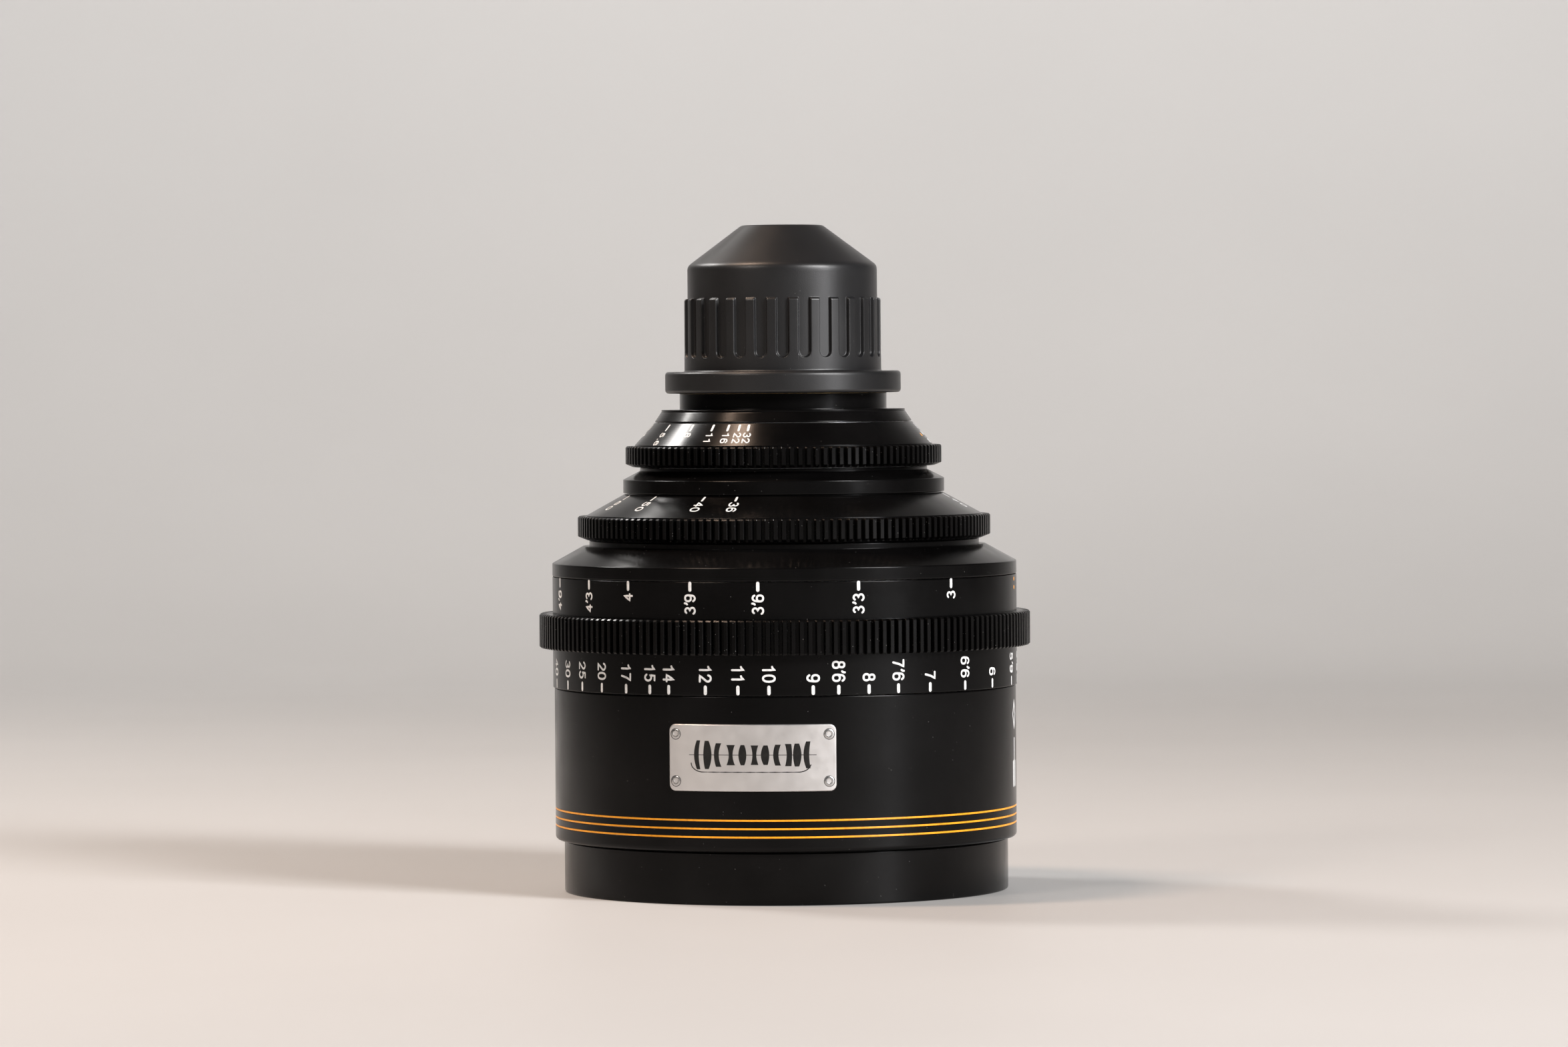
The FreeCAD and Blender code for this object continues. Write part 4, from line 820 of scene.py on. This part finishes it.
def shoulder(s):
    # index band, cone up to the neck, then the tube under the zoom ring
    ringPiece("shoulder", [
        (s["liner"], shoulderLow, 0.1), (shoulderR, shoulderLow, 0.25),
        (shoulderR, s["edge"], 0.35), (s["neckR"] + 2, s["neckLow"], 0.12),
        (s["neckR"], s["neckLow"], 0.05), (s["neckR"], s["neckTop"], 0.2),
        (s["tubeR"], s["neckTop"], 0.1), (s["tubeR"], shoulderTop, 0.1),
        (s["bore"], shoulderTop, 0.1), (s["bore"], s["floor"], 0.1),
        (s["liner"], s["floor"], 0.1)],
        blackAnodised, "lens_barrel", ["shoulder_housing"])


shoulder(shoulderSettings)


def gearedCone(name, size, s, body, replaced):
    # a rim gear that tapers in at its lower end, under a cone that carries the scale
    tip, low, top = size
    root, inner = tip - s["deep"], s["footR"] - 0.5
    foot, share = tip - s["taper"], (s["taper"] - s["deep"]) / s["taper"]
    start, cut = s["gearLow"], s["chamfer"]
    tooth = [(inner, low, 0.05), (foot, low, 0.1), (tip, start, 0.15), (tip, s["gearTop"], cut),
             (inner, s["gearTop"], 0.05)]
    gap = [(inner, low, 0.05), (foot, low, 0.1), (root, low + (start - low) * share, 0.05),
           (root, s["gearTop"], cut), (inner, s["gearTop"], 0.05)]
    rim = toothedRim(tooth, gap, s["teeth"], s["landHalf"], s["gapHalf"], s["edge"])
    meshPiece(name + "Gear", [rim], gearAnodised, body, sharp=20)
    ringPiece(name + "Ring", [
        (s["bore"], low, 0.1), (s["footR"] - 0.1, low, 0.1), (s["footR"], s["coneLow"], 0.15),
        (s["crownR"], top, 0.22), (s["bore"], top, 0.1)],
        blackAnodised, body, replaced)
    return ((s["footR"], s["coneLow"]), (s["crownR"], top))


zoomSettings = {"teeth": 156, "deep": 1.8, "taper": 2.7, "gearLow": 108.6, "gearTop": 114.7,
                "footR": 60.4, "coneLow": 115.0, "crownR": 49.0, "bore": 48.05, "landHalf": 0.52,
                "gapHalf": 0.42, "edge": 0.10, "chamfer": 0.40}
zoomLane = gearedCone("zoom", nodeSize("zoom_ring"), zoomSettings, "zoom", ["zoom_ring"])
zoomLength = math.dist(*zoomLane)
zoomStyle = {"tall": 3.2, "stroke": 0.50, "spread": 1.5, "rise": 0.035, "turn": -90,
             "endsAtEdge": False, "tick": (zoomLength - 2.7, zoomLength - 0.5), "tickWide": 0.7,
             "gap": 0.8, "above": False}
zoomScale = [("36", -16.4), ("40", -28.6), ("50", -51.4), ("60", -72), ("70", -101)]
zoomMarks = zoomScale + [(text, direction + 180) for text, direction in zoomScale]
scaleMarks("zoomScale", zoomMarks, zoomStyle, zoomLane, whitePaint, "zoom")


# collar and iris ring

collarR, collarLow, collarTop = nodeSize("zoom_index_collar")
collarSettings = {"edge": 125.8, "neckR": 44.0, "flare": 2.7, "bore": 38.0}
ringPiece("zoomIndexCollar", [
    (collarSettings["bore"], collarLow, 0.1), (collarR, collarLow, 0.22),
    (collarR, collarSettings["edge"], 0.3),
    (collarSettings["neckR"], collarSettings["edge"] + collarSettings["flare"], 0.15),
    (collarSettings["neckR"], collarTop, 0.1), (collarSettings["bore"], collarTop, 0.1)],
    blackAnodised, "lens_barrel", ["zoom_index_collar"])

irisSettings = {"teeth": 119, "deep": 1.8, "taper": 2.1, "gearLow": 130.6, "gearTop": 136.0,
                "footR": 45.5, "coneLow": 136.4, "crownR": 39.5, "bore": 38.05, "landHalf": 0.52,
                "gapHalf": 0.42, "edge": 0.10, "chamfer": 0.38}
irisLane = gearedCone("iris", nodeSize("iris_ring"), irisSettings, "iris", ["iris_ring"])
irisLength = math.dist(*irisLane)
irisStyle = {"tall": 2.5, "stroke": 0.41, "spread": 1.45, "rise": 0.03, "turn": -90,
             "endsAtEdge": False, "tick": (irisLength - 2.9, irisLength - 0.7), "tickWide": 0.75,
             "gap": 0.8, "above": False}
irisScale = [("32", -14.9), ("22", -19.0), ("16", -24.0), ("11", -31.5), ("8", -42.8),
             ("5.6", -59.5), ("4", -84)]
irisScale.append(("2.8", -96))
irisMarks = irisScale + [(text, direction + 180) for text, direction in irisScale]
scaleMarks("irisScale", irisMarks, irisStyle, irisLane, whitePaint, "iris")
goldDots("irisOpenMarks", [(-102.5, 3.6), (77.5, 3.6)], irisLane, "iris")

coneR, coneLow, coneTop = nodeSize("iris_index_cone")
indexSettings = {"crownR": coneR - 2.1, "bore": 36.6, "half": 0.42, "rise": 0.035}
ringPiece("irisIndexCone", [
    (indexSettings["bore"], coneLow, 0.05), (coneR, coneLow, 0.22),
    (indexSettings["crownR"], coneTop, 0.25), (indexSettings["bore"], coneTop, 0.05)],
    blackAnodised, "lens_barrel", ["iris_index_cone"])


def indexMarks():
    # white lines on the fixed rings, on both sides, that the scales are read against
    lanes = [((shoulderR, 0.0), (shoulderR, 110.0), 96.9, 100.0),
             ((collarR, 0.0), (collarR, 130.0), 122.1, 125.4),
             ((coneR, coneLow), (indexSettings["crownR"], coneTop), 0.35, 3.2)]
    shells = [barShell(lane[:2], direction, *lane[2:], indexSettings["half"],
                       indexSettings["rise"]) for lane in lanes for direction in (-90, 90)]
    meshPiece("indexMarks", shells, whitePaint, "lens_barrel", sharp=60)


indexMarks()
print("zoom and iris rings made")


# camera mount

neckR, neckLow, neckTop = nodeSize("mount_neck")
neckSettings = {"lip": 146.4, "lipTop": 147.1, "lipR": 37.3, "neckR": 31.7, "bore": 24.5,
                "sleeve": 33.0, "liner": 35.5}


def mountNeck(s):
    # the thin lip on the cone, the neck and the sleeve round the rear tube
    ringPiece("mountNeck", [
        (s["bore"], s["lip"], 0.1), (s["sleeve"], s["lip"], 0.1), (s["sleeve"], neckLow, 0.1),
        (s["liner"], neckLow, 0.1), (s["liner"], s["lip"], 0.1), (s["lipR"], s["lip"], 0.1),
        (s["lipR"], s["lipTop"], 0.15), (s["neckR"], s["lipTop"], 0.25),
        (s["neckR"], neckTop, 0.1), (s["bore"], neckTop, 0.1)],
        blackAnodised, "lens_barrel", ["mount_neck"])


mountNeck(neckSettings)
print("mount made")


# rear cap

capR, capLow, capTop = nodeSize("rear_cap")
capSettings = {"flangeTop": 158.7, "ribR": 30.14, "ribTop": 181.0, "bodyR": 29.05,
               "shoulder": 190.98, "crownR": 12.39, "grooves": 28, "half": 1.9, "foot": 162.9,
               "boreR": 27.3, "seatR": 34.5, "seatTop": 156.4, "floor": 200.8}


def gripShape(s):
    # U grooves. The grid's level lines first bend up round the foot of each U, by
    # half - sqrt(half^2 - across^2), which fades out above and below; then how far a point
    # is inside the U gives its depth, along a smooth step at the wall
    pitch = 2 * np.pi / s["grooves"]
    low, high = s["flangeTop"] + 0.6, s["ribTop"] - 0.8

    def shape(turn, height, radius):
        across = ((turn + pitch / 2) % pitch - pitch / 2) * s["ribR"]
        wall = (radius > s["ribR"] - 0.01) & (radius < s["ribR"] + 0.001)
        fade = np.minimum((height - low) / (s["foot"] - low), (high - height) / (high - s["foot"]))
        lift = s["half"] - np.sqrt(np.maximum(s["half"] ** 2 - across ** 2, 0))
        height = height + np.where(wall, np.clip(fade, 0, 1) * lift, 0)
        below = np.minimum(height - (s["foot"] + s["half"]), 0)
        outside = np.hypot(across, below) - s["half"]
        share = np.clip((0.16 - outside) / 0.44, 0, 1)
        depth = (radius - s["bodyR"]) * share * share * (3 - 2 * share)
        rib = (radius > s["bodyR"]) & (radius < s["ribR"] + 0.001) & (height > low)
        return radius - np.where(rib, depth, 0.0), height
    return shape


def rearCap(s):
    # the whole wall of the cap from the middle of its end, over the outside and back in; the
    # directions are close together where a groove's wall falls
    corners = [(0.4, capTop, 0), (s["crownR"], capTop, 2.0), (s["bodyR"], s["shoulder"], 2.3),
               (s["bodyR"], s["ribTop"], 0.2), (s["ribR"], s["ribTop"], 0.75),
               (s["ribR"], s["flangeTop"], 0.5), (capR, s["flangeTop"], 1.0), (capR, capLow, 1.0),
               (s["seatR"], capLow, 0.2), (s["seatR"], s["seatTop"], 0.2),
               (s["boreR"], s["seatTop"], 0.2), (s["boreR"], s["shoulder"] - 2.6, 1.0),
               (11.6, s["floor"], 1.0), (0.4, s["floor"], 0)]
    line = roundedSection(corners, 3, closed=False)[::-1]
    foot = s["foot"]
    fine = np.concatenate([[foot - 2.2, foot - 0.9], foot + np.linspace(-0.30, 0.42, 12),
                           [foot + 0.8], np.linspace(foot + 1.6, s["ribTop"] - 0.9, 9)])
    line = filledWall(line, s["ribR"], fine)
    pitch = 360 / s["grooves"]
    edge = math.degrees(s["half"] / s["ribR"])
    side = np.concatenate([[0.8, 1.6, 2.3, edge - 0.85], edge + np.linspace(-0.52, 0.34, 8),
                           [edge + 0.9, pitch / 2 - 0.9]])
    offsets = np.concatenate([-side[::-1], [0.0], side])
    turn = np.radians((np.arange(s["grooves"])[:, None] * pitch + offsets).reshape(-1))
    cap = revolved(line, turn, closed=False, shape=gripShape(s))
    meshPiece("rearCap", [cap], capPlastic, "cap", ["rear_cap"], sharp=60)


rearCap(capSettings)
print("rear cap made")


# floor and light

stageSettings = {"floor": (0.50, 0.49, 0.48), "world": (0.80, 0.84, 0.90), "worldStrength": 0.03,
                 "wallAt": 2.2, "bend": 0.9, "wide": 6.0, "front": -4.0, "tall": 4.0}
lights = [  # name, place, size, power, colour, aimed at, spread of the beam in degrees
    ("rightKey", (1.50, -1.42, 1.20), (0.6, 0.7), 62.0, (1.0, 0.985, 0.98), (0, 0, 0.10), 180),
    ("rightLow", (1.42, -1.05, 0.55), (0.22, 0.55), 10.0, (0.97, 0.97, 1.0), (0, 0, 0.16), 180),
    ("leftKey", (-1.30, -1.40, 1.25), (0.5, 0.6), 12.0, (1.0, 0.90, 0.82), (0, 0, 0.10), 180),
    ("backLeft", (-0.99, 0.70, 1.16), (0.30, 0.26), 13.0, (1.0, 0.97, 0.94), (0, 0, 0.12), 180),
    ("backSmall", (-0.45, 1.17, 1.12), (0.14, 0.14), 0.4, (1.0, 0.97, 0.94), (0, 0, 0.12), 180),
    ("overhead", (-0.50, -0.09, 1.22), (0.12, 0.35), 8.0, (1.0, 0.72, 0.54), (0, 0, 0.12), 180),
    ("wallWash", (0.0, 1.3, 1.7), (2.6, 0.5), 8.0, (1.0, 1.0, 1.0), (0, 2.2, 0.45), 100),
]


def addStage(settings):
    # floor and wall in one, the soft sky light, and plain colours in the picture
    material, tree, shader, place = newFinish("floorPaint", settings["floor"], 0.55)
    cloud = addNoise(tree, place, 3.0, 3.0)
    lighter = tuple(value * 1.05 for value in settings["floor"])
    tree.links.new(addMix(tree, addRange(tree, cloud, 0.0, 1.0), settings["floor"], lighter),
                   shader.inputs["Base Color"])
    # one sheet: flat floor, a quarter turn of the bend radius, then the wall
    bend, reach = settings["bend"], settings["wallAt"] - settings["bend"]
    turn = np.linspace(0, np.pi / 2, 25)
    depth = np.concatenate([[settings["front"]], reach + bend * np.sin(turn),
                            [settings["wallAt"]]])
    height = np.concatenate([[0.0], bend - bend * np.cos(turn), [settings["tall"]]])
    sides = np.array([-settings["wide"], settings["wide"]])
    points = np.stack(np.broadcast_arrays(sides[None, :], depth[:, None], height[:, None]), 2)
    mesh = bpy.data.meshes.new("floor")
    mesh.from_pydata(points.reshape(-1, 3).tolist(), [],
                     gridFaces(len(depth), 2, False, False)[:, ::-1].tolist())
    mesh.polygons.foreach_set("use_smooth", np.ones(len(mesh.polygons), bool))
    mesh.materials.append(material)
    floor = bpy.data.objects.new("floor", mesh)
    bpy.context.scene.collection.objects.link(floor)
    world = bpy.data.worlds.new("studio")
    world.use_nodes = True
    background = world.node_tree.nodes["Background"]
    background.inputs["Color"].default_value = (*settings["world"], 1)
    background.inputs["Strength"].default_value = settings["worldStrength"]
    bpy.context.scene.world = world
    bpy.context.scene.view_settings.view_transform = "Standard"


def addLights(rows):
    # soft lamps, each turned so that it faces what it is aimed at
    for name, place, size, power, color, aim, spread in rows:
        data = bpy.data.lights.new(name, "AREA")
        data.shape = "RECTANGLE"
        data.size, data.size_y = size
        data.energy = power
        data.spread = math.radians(spread)
        data.color = color
        lamp = bpy.data.objects.new(name, data)
        bpy.context.scene.collection.objects.link(lamp)
        way = np.array(place) - np.array(aim)
        lamp.location = place
        lamp.rotation_euler = (math.atan2(math.hypot(way[0], way[1]), way[2]), 0,
                               math.atan2(way[1], way[0]) + math.pi / 2)


addStage(stageSettings)
addLights(lights)
print("stage made")
